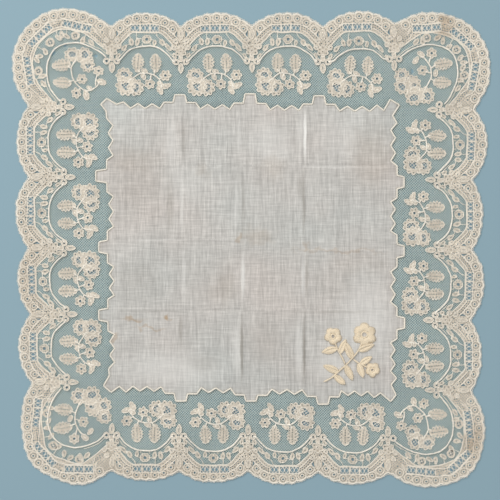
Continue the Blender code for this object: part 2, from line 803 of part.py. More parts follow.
def fleurons(parts, raised):
    """A fleuron at each valley, with the swag cord to the next one."""
    number = 0
    for side in range(SIDE_COUNT):
        for index, valley in enumerate(VALLEYS[side]):
            number += 1
            outline = fleuron_outline(side, index)
            bottom = BAND_THICK + GAP
            fleuron = flat_piece(f"fleuron_{number:02d}", [outline], bottom, FLEURON_THICK, parts, raised)
            x, y = turned(side, (valley.along, valley.out))
            fleuron.location.x = x * MM
            fleuron.location.y = y * MM
            fleuron.rotation_euler.z = -side * math.pi / 2


def spray_meshes(workshop, toile):
    """The plain spray and its mirror image, and the sprays of the two corner patterns."""
    outlines = {
        "plain_spray": spray_outlines(PLAIN_SPRAY, PLAIN_STEMS, STEM_WIDE, 1, -1),
        "mirrored_spray": spray_outlines(PLAIN_SPRAY, PLAIN_STEMS, STEM_WIDE, -1, -1),
        "even_corner_spray": spray_outlines(EVEN_CORNER_SPRAY, EVEN_CORNER_STEMS, STEM_WIDE),
        "odd_corner_spray": spray_outlines(ODD_CORNER_SPRAY, ODD_CORNER_STEMS, STEM_WIDE),
    }
    return {name: joined_mesh(name, loops, SPRAY_THICK, toile, workshop) for name, loops in outlines.items()}


def sprays(parts, workshop, toile):
    """A spray inside each scallop and each corner."""
    meshes = spray_meshes(workshop, toile)
    bottom = NET_THICK + GAP
    number = 0
    for side in range(SIDE_COUNT):
        even = side % 2 == 0
        for unit, shift in enumerate(SPRAY_SHIFTS[side]):
            number += 1
            valley = VALLEYS[side][unit]
            following = VALLEYS[side][unit + 1]
            along, out = unit_point(side, unit, 0.5, shift.inwards)
            slope = math.atan2(following.out - valley.out, following.along - valley.along)
            mesh = meshes["plain_spray" if even else "mirrored_spray"]
            tilt = slope - math.radians(shift.turn)
            place_on_side(f"spray_{number:02d}", mesh, side, (along + shift.along, out), tilt, bottom, parts)
        number += 1
        mesh = meshes["even_corner_spray" if even else "odd_corner_spray"]
        place_on_side(f"spray_{number:02d}", mesh, side, corner_centre(side), 0, bottom, parts)


def raised_sprig(parts, workshop, raised):
    """The padded sprig that is worked on the linen."""
    motifs = (*SPRIG_FLOWERS, *(sprig_leaf(leaf) for leaf in SPRIG_LEAVES))
    outlines = spray_outlines(motifs, SPRIG_STEMS, SPRIG_STEM_WIDE)
    mesh = joined_mesh("raised_sprig", outlines, SPRIG_THICK, raised, workshop)
    place_on_side("raised_sprig", mesh, 0, SPRIG_PLACE, 0, LINEN_THICK + GAP, parts)


def main():
    clear_scene()
    parts = new_collection("lace_handkerchief")
    workshop = new_collection("cutters", hidden=True)
    toile = material(TOILE)
    raised = material(RAISED)
    linen_centre(parts)
    net_ground(parts)
    scallop_band(parts, toile)
    linen_edge_cord(parts, raised)
    fleurons(parts, raised)
    sprays(parts, workshop, toile)
    raised_sprig(parts, workshop, raised)


main()
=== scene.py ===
"""Dresses the frame of a lace handkerchief: linen centre, net, needle lace band, fleurons and flower sprays.

The frame's middle is the origin, +X right and +Y up as the handkerchief lies before the viewer, +Z away from
what it lies on. Blender units are metres. Outlines and tables are in millimetres, and MM turns them into
metres when a piece is made. The four sides run clockwise: top, right, bottom, left. Each side has its own
frame, whose x runs along the side and whose y points outwards.
"""

import math
from collections import namedtuple

import bmesh
import bpy
import numpy as np
from mathutils import Matrix, Vector, noise
from mathutils.geometry import delaunay_2d_cdt


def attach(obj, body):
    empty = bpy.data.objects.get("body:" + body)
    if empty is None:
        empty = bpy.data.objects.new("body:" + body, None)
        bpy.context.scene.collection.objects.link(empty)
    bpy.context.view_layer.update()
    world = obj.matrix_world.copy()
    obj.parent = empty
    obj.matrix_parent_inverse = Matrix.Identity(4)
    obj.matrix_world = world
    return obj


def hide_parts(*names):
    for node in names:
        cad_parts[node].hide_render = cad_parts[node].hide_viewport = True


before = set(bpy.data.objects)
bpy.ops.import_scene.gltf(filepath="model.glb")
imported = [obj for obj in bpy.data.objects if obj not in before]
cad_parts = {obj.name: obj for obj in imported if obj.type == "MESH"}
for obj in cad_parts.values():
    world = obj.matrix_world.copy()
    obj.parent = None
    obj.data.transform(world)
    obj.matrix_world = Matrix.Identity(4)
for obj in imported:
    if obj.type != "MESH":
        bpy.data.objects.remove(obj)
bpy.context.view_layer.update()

bl_info = {
    "name": "Lace Handkerchief",
    "version": (1, 0, 0),
    "blender": (4, 5, 0),
    "location": "3D View > Sidebar > Handkerchief",
    "description": "Linen, net, needle lace and raised cords for a lace handkerchief",
    "category": "Add Mesh",
}

MM = 0.001
SIDE_COUNT = 4
# A side's plain scallops are 0 to 3, and the round corner that follows them is 4.
PLAIN_UNITS = range(4)
CORNER = 4
UNITS_A_SIDE = 5
SCALLOPS = [(side, unit) for side in range(SIDE_COUNT) for unit in range(UNITS_A_SIDE)]


def table(row, *values):
    """Rows with named columns."""
    return tuple(row(*each) for each in values)


# Scallops of the outer edge
SCALLOP_POWER = 2.2
RADIUS_STEP = 15
UNIT_HALF = 24.9

# The outer band: how far it reaches inwards, in the middle of a scallop and at a valley
BAND_MIDDLE = 4.4
BAND_VALLEY = 21
BAND_FLAT_HALF = 9
BAND_POWER = 1.35
CORNER_BAND_DEPTH = 14.6
CORNER_VALLEY_ANGLE = 12
VALLEY_BRIDGE = 2.6
VALLEY_ROOM = 0.06

# Windows of openwork in the band, the middle angles of a corner's rows, and how far the cords lie from them
WINDOW_WIDE = 5.9
WINDOW_TALL = 4.4
WINDOW_PITCH = 7
WINDOW_SHIFT = -1
WINDOW_T = 1.2
CORNER_WINDOW_DEPTH = 11
CORNER_WINDOWS = ((18, 43.5, 72.2), (19, 45, 72))
FRAME_OUT = 0.25
CORD_APART = 0.8

# The smooth cord that swags from one fleuron to the next, with a thinner strand beside each of its ends
SWAG_MIDDLE = 14.2
SWAG_FALL = 0.00466
SWAG_POWER = 2.6
SWAG_STEPS = 20
SWAG_LEVEL = 0.9
STRAND_APART = 1.7
EYELET_OUT = 3.6
EYELET_T = 25
EYELET_HOLE = 1.2

# The zigzag edge of the linen, measured from the level of its dips
TOOTH_RISE = 3.4
SHOULDER_RISE = 4.6
TAB_HALF = 3.6
SHOULDER_FROM = 4.8
SHOULDER_TO = 11.3
EDGE_SPAN = 93

Valley = namedtuple("Valley", "along out crest drop")
# A row for each valley of the outer edge. The scallop that follows it rises by crest, and the pattern inside
# that scallop lies lower by drop.
VALLEYS = (
    table(Valley,
        (-99, 157.9, 9.6, 0), (-49.9, 157.2, 9.6, 0), (0.6, 157.9, 9.6, 0), (51.1, 157.2, 9.9, 2.6),
        (101.6, 159.3, 0, 0),
    ),
    table(Valley,
        (-98.2, 158.5, 10, 0), (-48.4, 157.1, 7.5, 0), (1.4, 157.1, 9.2, 0), (51.2, 155.7, 7.4, 0),
        (101, 156.7, 0, 0),
    ),
    table(Valley,
        (-97.3, 160, 8.2, 0), (-47.5, 159.3, 8.9, 0), (2.2, 158.6, 7.8, 0), (51.3, 158.6, 6.9, 0),
        (99, 157.9, 0, 0),
    ),
    table(Valley,
        (-95.3, 155.9, 8.9, 0), (-46.9, 156.6, 8.5, 0), (0, 158, 9.2, 0), (50.5, 158, 8.2, 0),
        (100.3, 158.7, 0, 0),
    ),
)

# A row for each corner, after the side it follows: the edge's distance from the corner's centre, every 15°
CORNER_RADII = (
    (61.1, 71.2, 77.8, 81, 77.6, 69, 56.9), (59.4, 70, 78.2, 83.2, 78, 70.2, 59),
    (62.6, 75.2, 79.5, 81, 73.4, 65.8, 56.9), (59.7, 71.5, 80.5, 83.1, 79.9, 69.5, 57.6),
)
CORNER_SWAG_RADII = (32.5, 44, 53.5, 57.5, 52.5, 42, 32.5)

Tab = namedtuple("Tab", "along out")
# A row for each square tab of the linen's edge
TABS = (
    table(Tab, (-50.6, 108.8), (-0.8, 109.5), (48.3, 108.1)),
    table(Tab, (-46.9, 108.7), (2.1, 108.7), (53.3, 109.1)),
    table(Tab, (-51.1, 111), (0.1, 108.8), (49.9, 108.8)),
    table(Tab, (-47.7, 108.2), (0.7, 108.2), (51.2, 110.4)),
)

EdgeLevel = namedtuple("EdgeLevel", "first last")
# The level of the dips at each end of a side
EDGE_LEVELS = table(EdgeLevel, (99.4, 97), (99.2, 99), (102, 98), (96.8, 98.2))

# Teeth from a tab towards the next tab or the corner: where each stands, and its share of the tooth's rise
Tooth = namedtuple("Tooth", "at rise")
TEETH = table(Tooth, (14.5, 0), (19.8, 1), (25, 0), (30.2, 1), (35.5, 0))
LAST_TOOTH = Tooth(40.5, 1.3)

CornerTab = namedtuple("CornerTab", "dip_x dip_y first_x first_y second_x second_y end_x end_y")
# A row for each corner: the dip before its tab, the tab's two tips and the dip after it, in world places
CORNER_TABS = table(CornerTab,
    (94.4, 97.8, 98.8, 105.6, 105.4, 101.7, 100.5, 94),
    (99.5, -97.2, 103, -104.5, 99.2, -109.1, 91.9, -103),
    (-93.7, -98.3, -99.5, -102.6, -104.9, -97.9, -100.7, -90.6),
    (-103, 97.1, -106.8, 102.1, -102.5, 106.2, -95.6, 102.1),
)

Fold = namedtuple("Fold", "place half rise ways")
# Ironed folds of the linen. Between two folds the other way, each is a ridge (1) or a groove (-1).
FOLDS_ACROSS_X = table(Fold,
    (-49.8, 1.7, 0.5, (0.6, -1, -0.8, -0.9, 0.9)), (-7.2, 1.6, 0.55, (1, -1, -0.4, 1, 0.5)),
    (37.8, 1.4, 0.65, (1, -0.9, 0.7, 1, -1)),
)
FOLDS_ACROSS_Y = table(Fold,
    (-44, 1.8, 0.45, (0.7, -0.9, 0.9, -0.7)), (-2, 1.5, 0.45, (0, 0, -0.6, 1)),
    (5.8, 1.6, 0.45, (-0.7, 1, -0.5, 0)), (58.5, 1.8, 0.5, (0.5, -0.7, 1, -0.9)),
)
FOLD_TURN = 4

Motif = namedtuple("Motif", "x y half_x half_y turn")
Leaf = namedtuple("Leaf", "x y length width turn")
SprayPattern = namedtuple("SprayPattern", "lobes openings leaves blooms leaflets stems")
# The spray inside a plain scallop. x runs along the side, y is the distance inwards.
PLAIN = SprayPattern(
    lobes=table(Motif,
        (-15.6, 34.8, 5.6, 5.4, 0), (-14.4, 42.2, 6.9, 6.7, 20), (-7.4, 43.2, 5.6, 5.7, 40),
    ),
    openings=table(Motif,
        (-15.3, 34.2, 3, 2.1, 10), (-14.2, 42, 3.9, 3.2, 55), (-7.2, 43.4, 2.6, 3.3, 10),
    ),
    leaves=table(Motif, (-6, 25.8, 6.7, 3.7, 92), (6.6, 25.8, 6.7, 3.7, 88)),
    blooms=table(Motif, (2.6, 40.7, 3.6, 3.6, 10), (13.8, 34.4, 3.7, 3.7, 30)),
    leaflets=table(Motif,
        (10, 45, 3.2, 1.9, 65), (14.2, 42, 3.3, 1.8, -25), (10.4, 40.6, 2.4, 1.5, 30),
        (-2, 35.6, 2.3, 1.6, 70), (-1, 31.6, 2.2, 1.5, 20),
    ),
    stems=(
        ((-11.5, 38.6), (-5.5, 33.9), (-0.7, 33), (4.6, 34), (9.9, 37.6), (11.4, 43.4)),
        ((-6, 30.5), (-3.5, 33.6)), ((6.6, 30.5), (5.6, 34.6)), ((2.6, 38.5), (3.6, 33.8)),
        ((11.5, 36), (9.4, 37.4)), ((-1.8, 36), (-1.2, 33)),
    ),
)

Shift = namedtuple("Shift", "along inwards turn")
# How far each plain spray lies from its regular place, clockwise, a row for each side
SPRAY_SHIFTS = (
    table(Shift, (0.3, 0.3, 0), (0, 0.3, 0), (-0.6, 0.3, 0), (1.6, 2.8, 6)),
    table(Shift, (0.9, 0, 0), (1, 0.2, 0), (1.2, 0, 0), (1.3, 0, 0)),
    table(Shift, (-0.8, 0.3, 0), (-0.4, 0.2, 0), (-1, 0.4, 0), (-0.2, 0.9, 0)),
    table(Shift, (-1.4, 0.9, 0), (-1.4, 1.1, 0), (-1.2, 1.2, 0), (-1.3, 1, 0)),
)

# The corner sprays. x and y are measured from the corner's centre along its two sides.
EVEN = SprayPattern(
    lobes=table(Motif,
        (5.6, 24.4, 5.2, 5, 10), (6.4, 17, 6, 5.8, 30), (14.8, 9.8, 6.8, 6.4, 50),
        (22.6, 10.4, 5.8, 6, 70), (13, 18.6, 6, 5.6, 0),
    ),
    openings=table(Motif,
        (5.2, 24.8, 2.2, 2.6, 10), (5.8, 16.6, 2.6, 3.1, 20), (14.2, 8.8, 3.4, 2.6, 20),
        (23.2, 9.6, 2.8, 3, 40), (13.7, 17.4, 2.8, 1.6, 10),
    ),
    leaves=table(Motif, (35, 32.6, 6.8, 3.9, 8), (34.2, 19.4, 6.6, 3.9, -4)),
    blooms=table(Motif, (26.6, 40.3, 3.6, 3.6, 0), (20.2, 28.2, 3.5, 3.5, 20)),
    leaflets=table(Motif,
        (19.2, 39.4, 2.6, 1.7, -30), (15.4, 35.2, 2.6, 1.7, 50), (29.6, 26, 2.4, 1.6, 70),
    ),
    stems=(
        ((21.6, 13), (24.4, 19), (26.2, 24), (25.6, 30.5), (22, 36.2), (18.6, 37.4)),
        ((30, 31.6), (26, 29.4)), ((29.4, 19.8), (25.6, 22.4)), ((26, 38.2), (24.6, 32.4)),
        ((22.4, 27.6), (26, 26)),
    ),
)
ODD = SprayPattern(
    lobes=table(Motif, (37, 27.6, 5, 5.8, 10), (36.2, 19.6, 6, 5.6, 30), (30, 17.4, 5, 5, 50)),
    openings=table(Motif, (37.4, 28, 2.2, 3, 10), (36.8, 19.2, 3.2, 2.6, 20), (29.6, 16.8, 2.3, 2.3, 30)),
    leaves=table(Motif, (29.6, 35.8, 3.9, 6.8, 5), (17.2, 35.2, 3.8, 6.6, -3)),
    blooms=table(Motif, (19.8, 21.2, 3.5, 3.5, 0), (25.4, 9.4, 3.5, 3.5, 20), (9.8, 25.4, 3.5, 3.5, 40)),
    leaflets=table(Motif, (17.6, 7.4, 3.2, 2, 70), (8.4, 18.4, 3.2, 2, 10), (13.2, 15.8, 2.2, 1.4, 50)),
    stems=(
        ((34.6, 25), (28.5, 28.4), (24.2, 28.4), (18, 26.6), (13.6, 22.4), (11, 18), (14, 11.4), (18, 8.6)),
        ((29, 31), (26.6, 28)), ((18, 30.4), (19, 26.6)), ((19, 23), (17.4, 26.4)),
        ((11.2, 23.6), (13.6, 22)), ((22.8, 10.4), (18.6, 11.6), (15, 11.6)), ((9.6, 18), (11.8, 18.2)),
    ),
)

RingHole = namedtuple("RingHole", "along depth")
# Ringed holes along a plain scallop: along from its middle, depth from the outer edge
RING_HOLES = table(RingHole,
    (-19.2, 5.6), (-13.7, 3.8), (-7.1, 3.5), (0.1, 3.5), (6.8, 3.5), (13.4, 4.4), (18.9, 6.2),
)
CORNER_RING_FIRST = 5.6
CORNER_RING_STEP = 5.25
CORNER_RINGS = [CORNER_RING_FIRST + CORNER_RING_STEP * index for index in range(16)]
CORNER_RING_DEPTH = 4
RING_RADIUS = 2.9
RING_EYE = 0.78
RING_EYE_CORD = 1.05
RING_SPOKES = 9
RING_SPOKE = 0.62
RING_INNER = 1.5
RING_OUTER = 2.1
# Small gaps between the rings and the windows
GAP_PLACES = (-16.6, -10.4, -3.5, 3.5, 10.1, 16.2)
GAP_DEPTH = 6.9
CORNER_GAP_DEPTH = 7.2
GAP_RADIUS = 0.65
# The outer edge of the cloth work lies inside the picots, and swells a little over each ring
EDGE_IN = 0.8
LOBE_SWELL = 1.3
LOBE_MIDDLE = 0.62
LOBE_PITCH = 6.75
# Holes of the cloth work beside each valley, under the fleuron's own holes: aside and depth
VALLEY_HOLES = ((4.2, 10.2), (5.4, 14.6), (8.4, 17), (3.6, 20))
VALLEY_HOLE = 0.95
CRESCENT_IN = 2.7
CRESCENT_FROM = 3.2
CRESCENT_LONG = 5.2
# Rows of holes along the band's inner edge, and the pin holes everywhere else
LADDER_ROWS = (3, 4.5)
LADDER_PITCH = 1.8
LADDER_HOLE = 0.52
HEM_ROW = 1.3
HEM_HOLE = 0.36
PIN_PITCH = 2
PIN_HOLE = 0.38

BandPlan = namedtuple("BandPlan", "whole steps ladder ladder_step ladder_steps hem hem_steps")
# Where the rows of holes run: in shares of a plain scallop, in degrees around a corner
PLAIN_BAND = BandPlan(1, 36, ((0.05, 0.33), (0.67, 0.95)), 0.015, 30, (0.04, 0.96), 40)
CORNER_BAND = BandPlan(90, 60, ((4, 86),), 0.8, 60, (3, 87), 60)

# Leaves between the windows and the swag cord of a plain scallop, from their middles
BAND_LEAVES = table(Leaf,
    (-6.6, 11, 5.6, 3.4, 100), (-10.8, 11, 5.2, 3.4, 75), (-15.6, 15.2, 5.4, 3, -48),
    (11.2, 11.6, 5.4, 3.6, 60), (15.7, 15, 6.8, 2.8, 48), (5.9, 12, 4.4, 2.6, 100),
    (-19.9, 20.6, 4, 2.4, -60), (20.2, 21, 4, 2.4, 60),
)
BAND_TENDRILS = (
    ((-6.8, 4.4), (-7, 7), (-6.8, 9.2)), ((6.8, 4.4), (8, 7.2), (10.4, 9.6)),
    ((-3, 9.4), (-5.2, 8.6), (-6.6, 8.8)), ((3.6, 9.4), (5.4, 10), (6, 10.6)),
    ((-11.4, 8.4), (-12.4, 6.4), (-12.8, 5.4)), ((-14.2, 13.6), (-12.4, 12.6), (-10.8, 13.4)),
    ((13.8, 13.4), (12.6, 13.6), (11.2, 14)), ((-2.6, 12), (-3, 13.8), (-3.2, 14.6)),
    ((2.8, 12), (3.2, 13.6), (3.4, 14.6)),
)
CENTRE_BLOOM = Motif(0.3, 9.3, 3.5, 3.3, 0)
BLOOM_EYE = 1.15

CornerSpot = namedtuple("CornerSpot", "angle depth turn")
CORNER_BLOOMS = table(CornerSpot, (17.5, 18, 0), (47, 19.6, 0), (72.5, 18, 0))
CORNER_LEAVES = table(CornerSpot,
    (6.5, 18, 50), (11, 19.6, 120), (26.5, 17.6, 65), (31, 18.8, 115), (37.5, 21, 70), (56.5, 19.8, 110),
    (61.5, 18.2, 70), (66, 19.4, 120), (80, 19.4, 65), (85, 17.6, 125),
)
CORNER_BLOOM = 3.2
CORNER_BLOOM_EYE = 1.6
# Small gaps where the net is worn away or was never worked, in world places
NET_GAPS = table(Motif,
    (-136.8, 156, 2.2, 1.4, -20), (-140.2, 138.3, 1.7, 1.1, 50), (-132.4, 143.7, 1.3, 0.9, 20),
    (-110.4, 136.6, 1.2, 1, 0), (-111.4, 128.7, 1, 1, 0), (-109.7, 120.6, 1.2, 1.2, 0),
    (114.5, 125.8, 0.9, 1.6, 10), (111.8, -128.2, 1.2, 1, 0), (115.6, -127.4, 1, 1, 0),
)

FLEURON_LEAVES = table(Leaf, (0, 5.8, 7.8, 3.7, 90), (0, 29.6, 7.4, 4, 90))
FLEURON_SEPALS = table(
    Motif,
    (-3.9, 10.4, 1.9, 1.5, 35), (3.9, 10.4, 1.9, 1.5, -35),
    (-5.2, 14.8, 1.9, 1.5, 70), (5.2, 14.8, 1.9, 1.5, 110),
)
FLEURON_BLOOM = Motif(0, 17.6, 4.4, 4.2, 0)
FLEURON_NECK = Motif(0, 22.4, 1.5, 2.6, 0)

# The midrib of a spray's leaf is a row of small eyes, as shares of its length from its middle
LEAF_EYES = (-0.34, -0.22, -0.10, 0.02, 0.14, 0.26)
LEAF_TEETH = 6

# Heights of the layers, from the surface that the handkerchief lies on
LINEN_TOP = 0.62
NET_LEVELS = (0.30, 0.44)
TOILE_BOTTOM = 0.2
TOILE_THICK = 0.45
LEAF_BOTTOM = 0.48
LEAF_THICK = 0.3
SPRAY_BOTTOM = 0.5
SPRAY_THICK = 0.3
LAYER = 0.03
FLEURON_BOTTOM = 0.66
FLEURON_THICK = 0.4
EDGE_CORD_LEVEL = 0.78

# How far apart the points of a cord lie: round a motif, round an opening, and along a smooth route
RIM_STEP = 0.75
OPENING_STEP = 0.7
ROUTE_STEP = 0.8
LINE_STEP = 0.9

# The raised sprig that is worked in the linen's lower right corner, measured from the sprig's middle
SPRIG_PLACE = (71.6, -74)
SPRIG_BOTTOM = 0.62
SPRIG_PAD = 0.7
SPRIG_TOP = 0.35
SprigFlower = namedtuple("SprigFlower", "x y radius petals turn")
SPRIG_FLOWERS = table(SprigFlower,
    (9, 12.4, 8.8, 6, 0), (-13.4, 11.4, 6.4, 5, 15), (14.6, -12.6, 5.6, 5, 20),
)
# A row for each leaf, from where it joins its stem
SPRIG_LEAVES = table(Leaf,
    (4.6, 1, 12, 5.6, 22), (0.2, -4.6, 12.6, 5.6, 112), (-4.6, -9.4, 11.8, 5.4, -64),
    (-9.6, -14, 11, 5.2, 158), (-12.4, -16.6, 9.6, 4.8, -38), (-10.6, 2.6, 11, 5.2, 196),
    (-8.8, -0.6, 10.6, 5, 64), (6, -8.6, 9.6, 4.8, 34), (4.6, -8.2, 10.4, 5, -72),
)
SPRIG_STEMS = (
    ((7, 7), (4.6, 1), (0.2, -4.6), (-4.6, -9.4), (-9.6, -14), (-15, -18.6), (-20, -21.4)),
    ((-12.4, 7.6), (-10.6, 2.6), (-7.6, -2.6), (-4.8, -8.6)), ((11.4, -11), (6, -8.6), (0.8, -5)),
)

# How far the work is out of true: the grain of the unevenness, its reach and its level in the noise
UNEVEN = ((8, 0.5, 2.1), (2.6, 0.22, 5.7))
NET_UNEVEN = ((26, 0.8, 1.3),)
# Noise vectors are random unless they are seeded. With this seed each run gives the same result.
NOISE_SEED = 1
noise.seed_set(NOISE_SEED)
LONGEST_STEP = 1.6
WELD = 0.004

# A soft oval patch of another colour. The tables below hold stains, wear, and painted light and shade.
Patch = namedtuple("Patch", "x y half_x half_y strength")
# The first four rows are small yellow stains. The rest are soft brownish spots, patches and a line on the
# folds and the waves, partly age stains and partly painted shade.
LINEN_STAINS_AND_SHADE = table(Patch,
    (-59.2, -50.2, 3.2, 2.6, 0.66), (-84, -50.2, 12, 2.8, 0.44), (-72, -56.8, 14, 1.9, 0.3),
    (-96.4, -64, 5, 3, 0.36), (-8.6, 6.7, 2.6, 5, 0.3), (4, 8.5, 17, 9, 0.16), (39.2, 0.2, 3, 4.6, 0.26),
    (62, -2.2, 46, 1.9, 0.22), (86, 66, 24, 32, 0.11), (-82, 63, 26, 12, 0.06), (-35, 55.5, 8, 7, 0.1),
    (15.5, 57, 13, 12, 0.1), (-20, -30, 17, 16, 0.06), (77.5, -11, 30, 12, 0.05),
)
# Painted light on the linen, partly also wear: bright lines paint the lit side of each ironed fold, and
# broad lighter patches paint more light on parts of the cloth, such as its lower right.
WORN_AND_LIT_PLACES = table(Patch,
    (38.2, 80, 1.7, 24, 0.95), (35, 80, 4.5, 22, 0.28), (37, -20, 1.8, 21, 0.5),
    (33.8, -72, 3.6, 30, 0.34), (-8.7, 80, 1.3, 20, 0.3), (-10.8, 30, 2, 27, 0.26),
    (-6, -20, 2.2, 22, 0.55), (-10, -72, 3.2, 30, 0.36), (-57, 76, 5.5, 24, 0.3),
    (-49.5, 30, 2, 27, 0.28), (-48, -18, 2.4, 24, 0.22), (62, 57.6, 44, 1.3, 0.22),
    (-66, 5.8, 26, 1.2, 0.18), (-56, -86, 48, 17, 0.32), (58, -84, 20, 18, 0.3), (14, 74, 22, 24, 0.24),
    (62, 78, 24, 22, 0.16), (82, -50, 28, 44, 0.34), (-46, 45, 26, 18, 0.14),
)
# Painted shade on the linen, partly also soil: dark lines paint the shaded side of each ironed fold, and
# broad greyer patches paint the shade in the hollows of the soft waves.
SOILED_AND_SHADED_PLACES = table(Patch,
    (37.4, 32, 1.5, 32, 0.42), (34.6, 44, 3.4, 12, 0.22), (39.8, -20, 1.3, 22, 0.34),
    (37.6, -72, 1.5, 32, 0.62), (-5.6, 30, 2, 28, 0.24), (-17.5, -24, 8, 20, 0.16),
    (-6.6, -72, 1.8, 32, 0.52), (-48.1, 76, 2, 20, 0.24), (-57.4, 30, 3.6, 25, 0.28),
    (-50.2, -58, 2.4, 15, 0.32), (60, -45.4, 42, 1.4, 0.18), (-72, -45, 30, 1.6, 0.14),
    (-80, 52, 30, 40, 0.16), (-80, -24, 24, 26, 0.14), (10, -66, 20, 24, 0.16), (60, -24, 26, 18, 0.08),
    (-34, -82, 16, 9, 0.2),
)
# Age stains on the lace at its upper right and lower right corners, and two long patches along its left and
# bottom sides that are painted shade.
LACE_STAINS_AND_SHADE = table(Patch,
    (138.6, 160, 8, 9, 0.42), (136.5, 152, 6, 8, 0.26), (158.2, -138.1, 10, 18, 0.3),
    (-158, -20, 12, 60, 0.14), (-60, -160, 70, 10, 0.12),
)

CAMERA_PLACE = (-0.00082, -0.00142, 0.8397)
CAMERA_LENS = 85
FLOOR_HALF = 3
FLOOR_DOWN = 0.0002


def linear(code):
    """An sRGB hex colour as the linear values that shaders take."""
    values = [int(code[start : start + 2], 16) / 255 for start in (1, 3, 5)]
    colour = [value / 12.92 if value <= 0.04045 else ((value + 0.055) / 1.055) ** 2.4 for value in values]
    return (*colour, 1.0)


# Places in the handkerchief's plane


def turned(side, point):
    """A point of a side's frame in the world's frame: each side is a quarter turn clockwise on."""
    x, y = point
    for _ in range(side):
        x, y = y, -x
    return x, y


def hand(side):
    """1, or -1 on every second side, where the pattern is mirrored."""
    return -1 if side % 2 else 1


def leftwards(way):
    return Vector((-way.y, way.x))


def line(side, place, first, last, steps):
    """A line in the world's frame. place gives its points in a side's frame, evenly from first to last."""
    return [turned(side, place(first + (last - first) * step / steps)) for step in range(steps + 1)]


def smooth_value(values, place):
    """Catmull-Rom through evenly spaced values, at a place counted in steps."""
    last = len(values) - 1
    index = min(int(place), last - 1)
    part = place - index
    before, start, end, after = (values[min(max(index + step, 0), last)] for step in (-1, 0, 1, 2))
    cube = part**3
    square = part**2
    from_start = (2 * cube - 3 * square + 1) * start + (cube - 2 * square + part) * (end - before) / 2
    return from_start + (3 * square - 2 * cube) * end + (cube - square) * (after - start) / 2


def unit_point(side, unit, share, inwards):
    """A point over the line between two valleys: share of the way along it, and so far inwards."""
    first, second = VALLEYS[side][unit : unit + 2]
    along = first.along + (second.along - first.along) * share
    return along, first.out + (second.out - first.out) * share - inwards


def corner_centre(side):
    """The centre of the corner that follows a side, in that side's frame."""
    return VALLEYS[side][-1].along, -VALLEYS[(side + 1) % SIDE_COUNT][0].along


def corner_point(side, angle, radius):
    centre_x, centre_y = corner_centre(side)
    turn = math.radians(angle)
    return centre_x + radius * math.sin(turn), centre_y + radius * math.cos(turn)


def corner_edge(side, angle, outwards=0.0):
    """A point so far outwards of a corner's outer edge, away from its centre."""
    return corner_point(side, angle, smooth_value(CORNER_RADII[side], angle / RADIUS_STEP) + outwards)


def corner_way(side, angle):
    """The direction in which the outer edge runs around a corner."""
    return (Vector(corner_edge(side, angle + 1)) - Vector(corner_edge(side, angle - 1))).normalized()


def inside_corner(side, angle, depth):
    """A point so far inside the outer edge of a corner, straight in from the edge."""
    return tuple(Vector(corner_edge(side, angle)) - leftwards(corner_way(side, angle)) * depth)


def corner_band_point(side, angle, outwards):
    """A line so far outwards of the band's inner edge around a corner, which is deeper at the valleys."""
    valley_share = max(0.0, 1 - min(angle, 90 - angle) / CORNER_VALLEY_ANGLE)
    straight_in = Vector(inside_corner(side, angle, CORNER_BAND_DEPTH - outwards))
    to_centre = Vector(corner_edge(side, angle, outwards - BAND_VALLEY))
    return tuple(straight_in.lerp(to_centre, valley_share))


def scallop_rise(side, unit, share):
    return VALLEYS[side][unit].crest * (1 - abs(2 * share - 1) ** SCALLOP_POWER)


def band_reach(share):
    """How far inwards the band reaches, at a share of the way from one valley to the next."""
    slope = max(abs(2 * share - 1) * UNIT_HALF - BAND_FLAT_HALF, 0.0) / (UNIT_HALF - BAND_FLAT_HALF)
    return BAND_MIDDLE + (BAND_VALLEY - BAND_MIDDLE) * slope**BAND_POWER


def on_unit(side, unit, along, inwards):
    """A world point over a plain scallop, measured along from its middle. Every second side is mirrored."""
    return turned(side, unit_point(side, unit, 0.5 + hand(side) * along / (2 * UNIT_HALF), inwards))


def under_edge(side, unit, along, depth):
    """A world point at a depth from a plain scallop's outer edge."""
    return on_unit(side, unit, along, depth - scallop_rise(side, unit, 0.5 + along / (2 * UNIT_HALF)))


def lobe(turns):
    """How far the outer edge swells, at a place counted in rings from the middle of one."""
    return LOBE_SWELL * (abs(math.cos(math.pi * turns)) - LOBE_MIDDLE)


def edge_line(side, unit):
    """The outer edge of a scallop or a corner."""

    def plain(share):
        swell = min(9 * share, 9 - 9 * share, 1) * lobe((2 * share - 1) * UNIT_HALF / LOBE_PITCH)
        return unit_point(side, unit, share, EDGE_IN - swell - scallop_rise(side, unit, share))

    def corner(angle):
        swell = min(angle / 5, 18 - angle / 5, 1) * lobe((angle - CORNER_RING_FIRST) / CORNER_RING_STEP)
        return corner_edge(side, angle, swell - EDGE_IN)

    return line(side, corner, 0, 90, 120) if unit == CORNER else line(side, plain, 0, 1, 56)


def inner_line(side, unit, outwards, first, last, steps):
    """A line so far outwards of the band's inner edge, between two shares, or two angles around a corner."""

    def plain(share):
        places = (max(share - 0.01, 0), share, min(share + 0.01, 1))
        before, here, after = (Vector(unit_point(side, unit, place, band_reach(place))) for place in places)
        return here + leftwards((after - before).normalized()) * outwards

    def corner(angle):
        return corner_band_point(side, angle, outwards)

    return line(side, corner if unit == CORNER else plain, first, last, steps)


def whole_route(scallop_line):
    """The lines of all scallops and corners as one closed route."""
    return [point for side, unit in SCALLOPS for point in scallop_line(side, unit)[:-1]]


def inner_route():
    """The whole inner edge of the band."""

    def scallop(side, unit):
        whole, steps = (90, 60) if unit == CORNER else (1, 40)
        return inner_line(side, unit, 0, 0, whole, steps)

    return whole_route(scallop)


def edge_level(side, along):
    """The level of the zigzag's dips at a place along a side."""
    level = EDGE_LEVELS[side]
    return level.first + (level.last - level.first) * (along + EDGE_SPAN) / (2 * EDGE_SPAN)


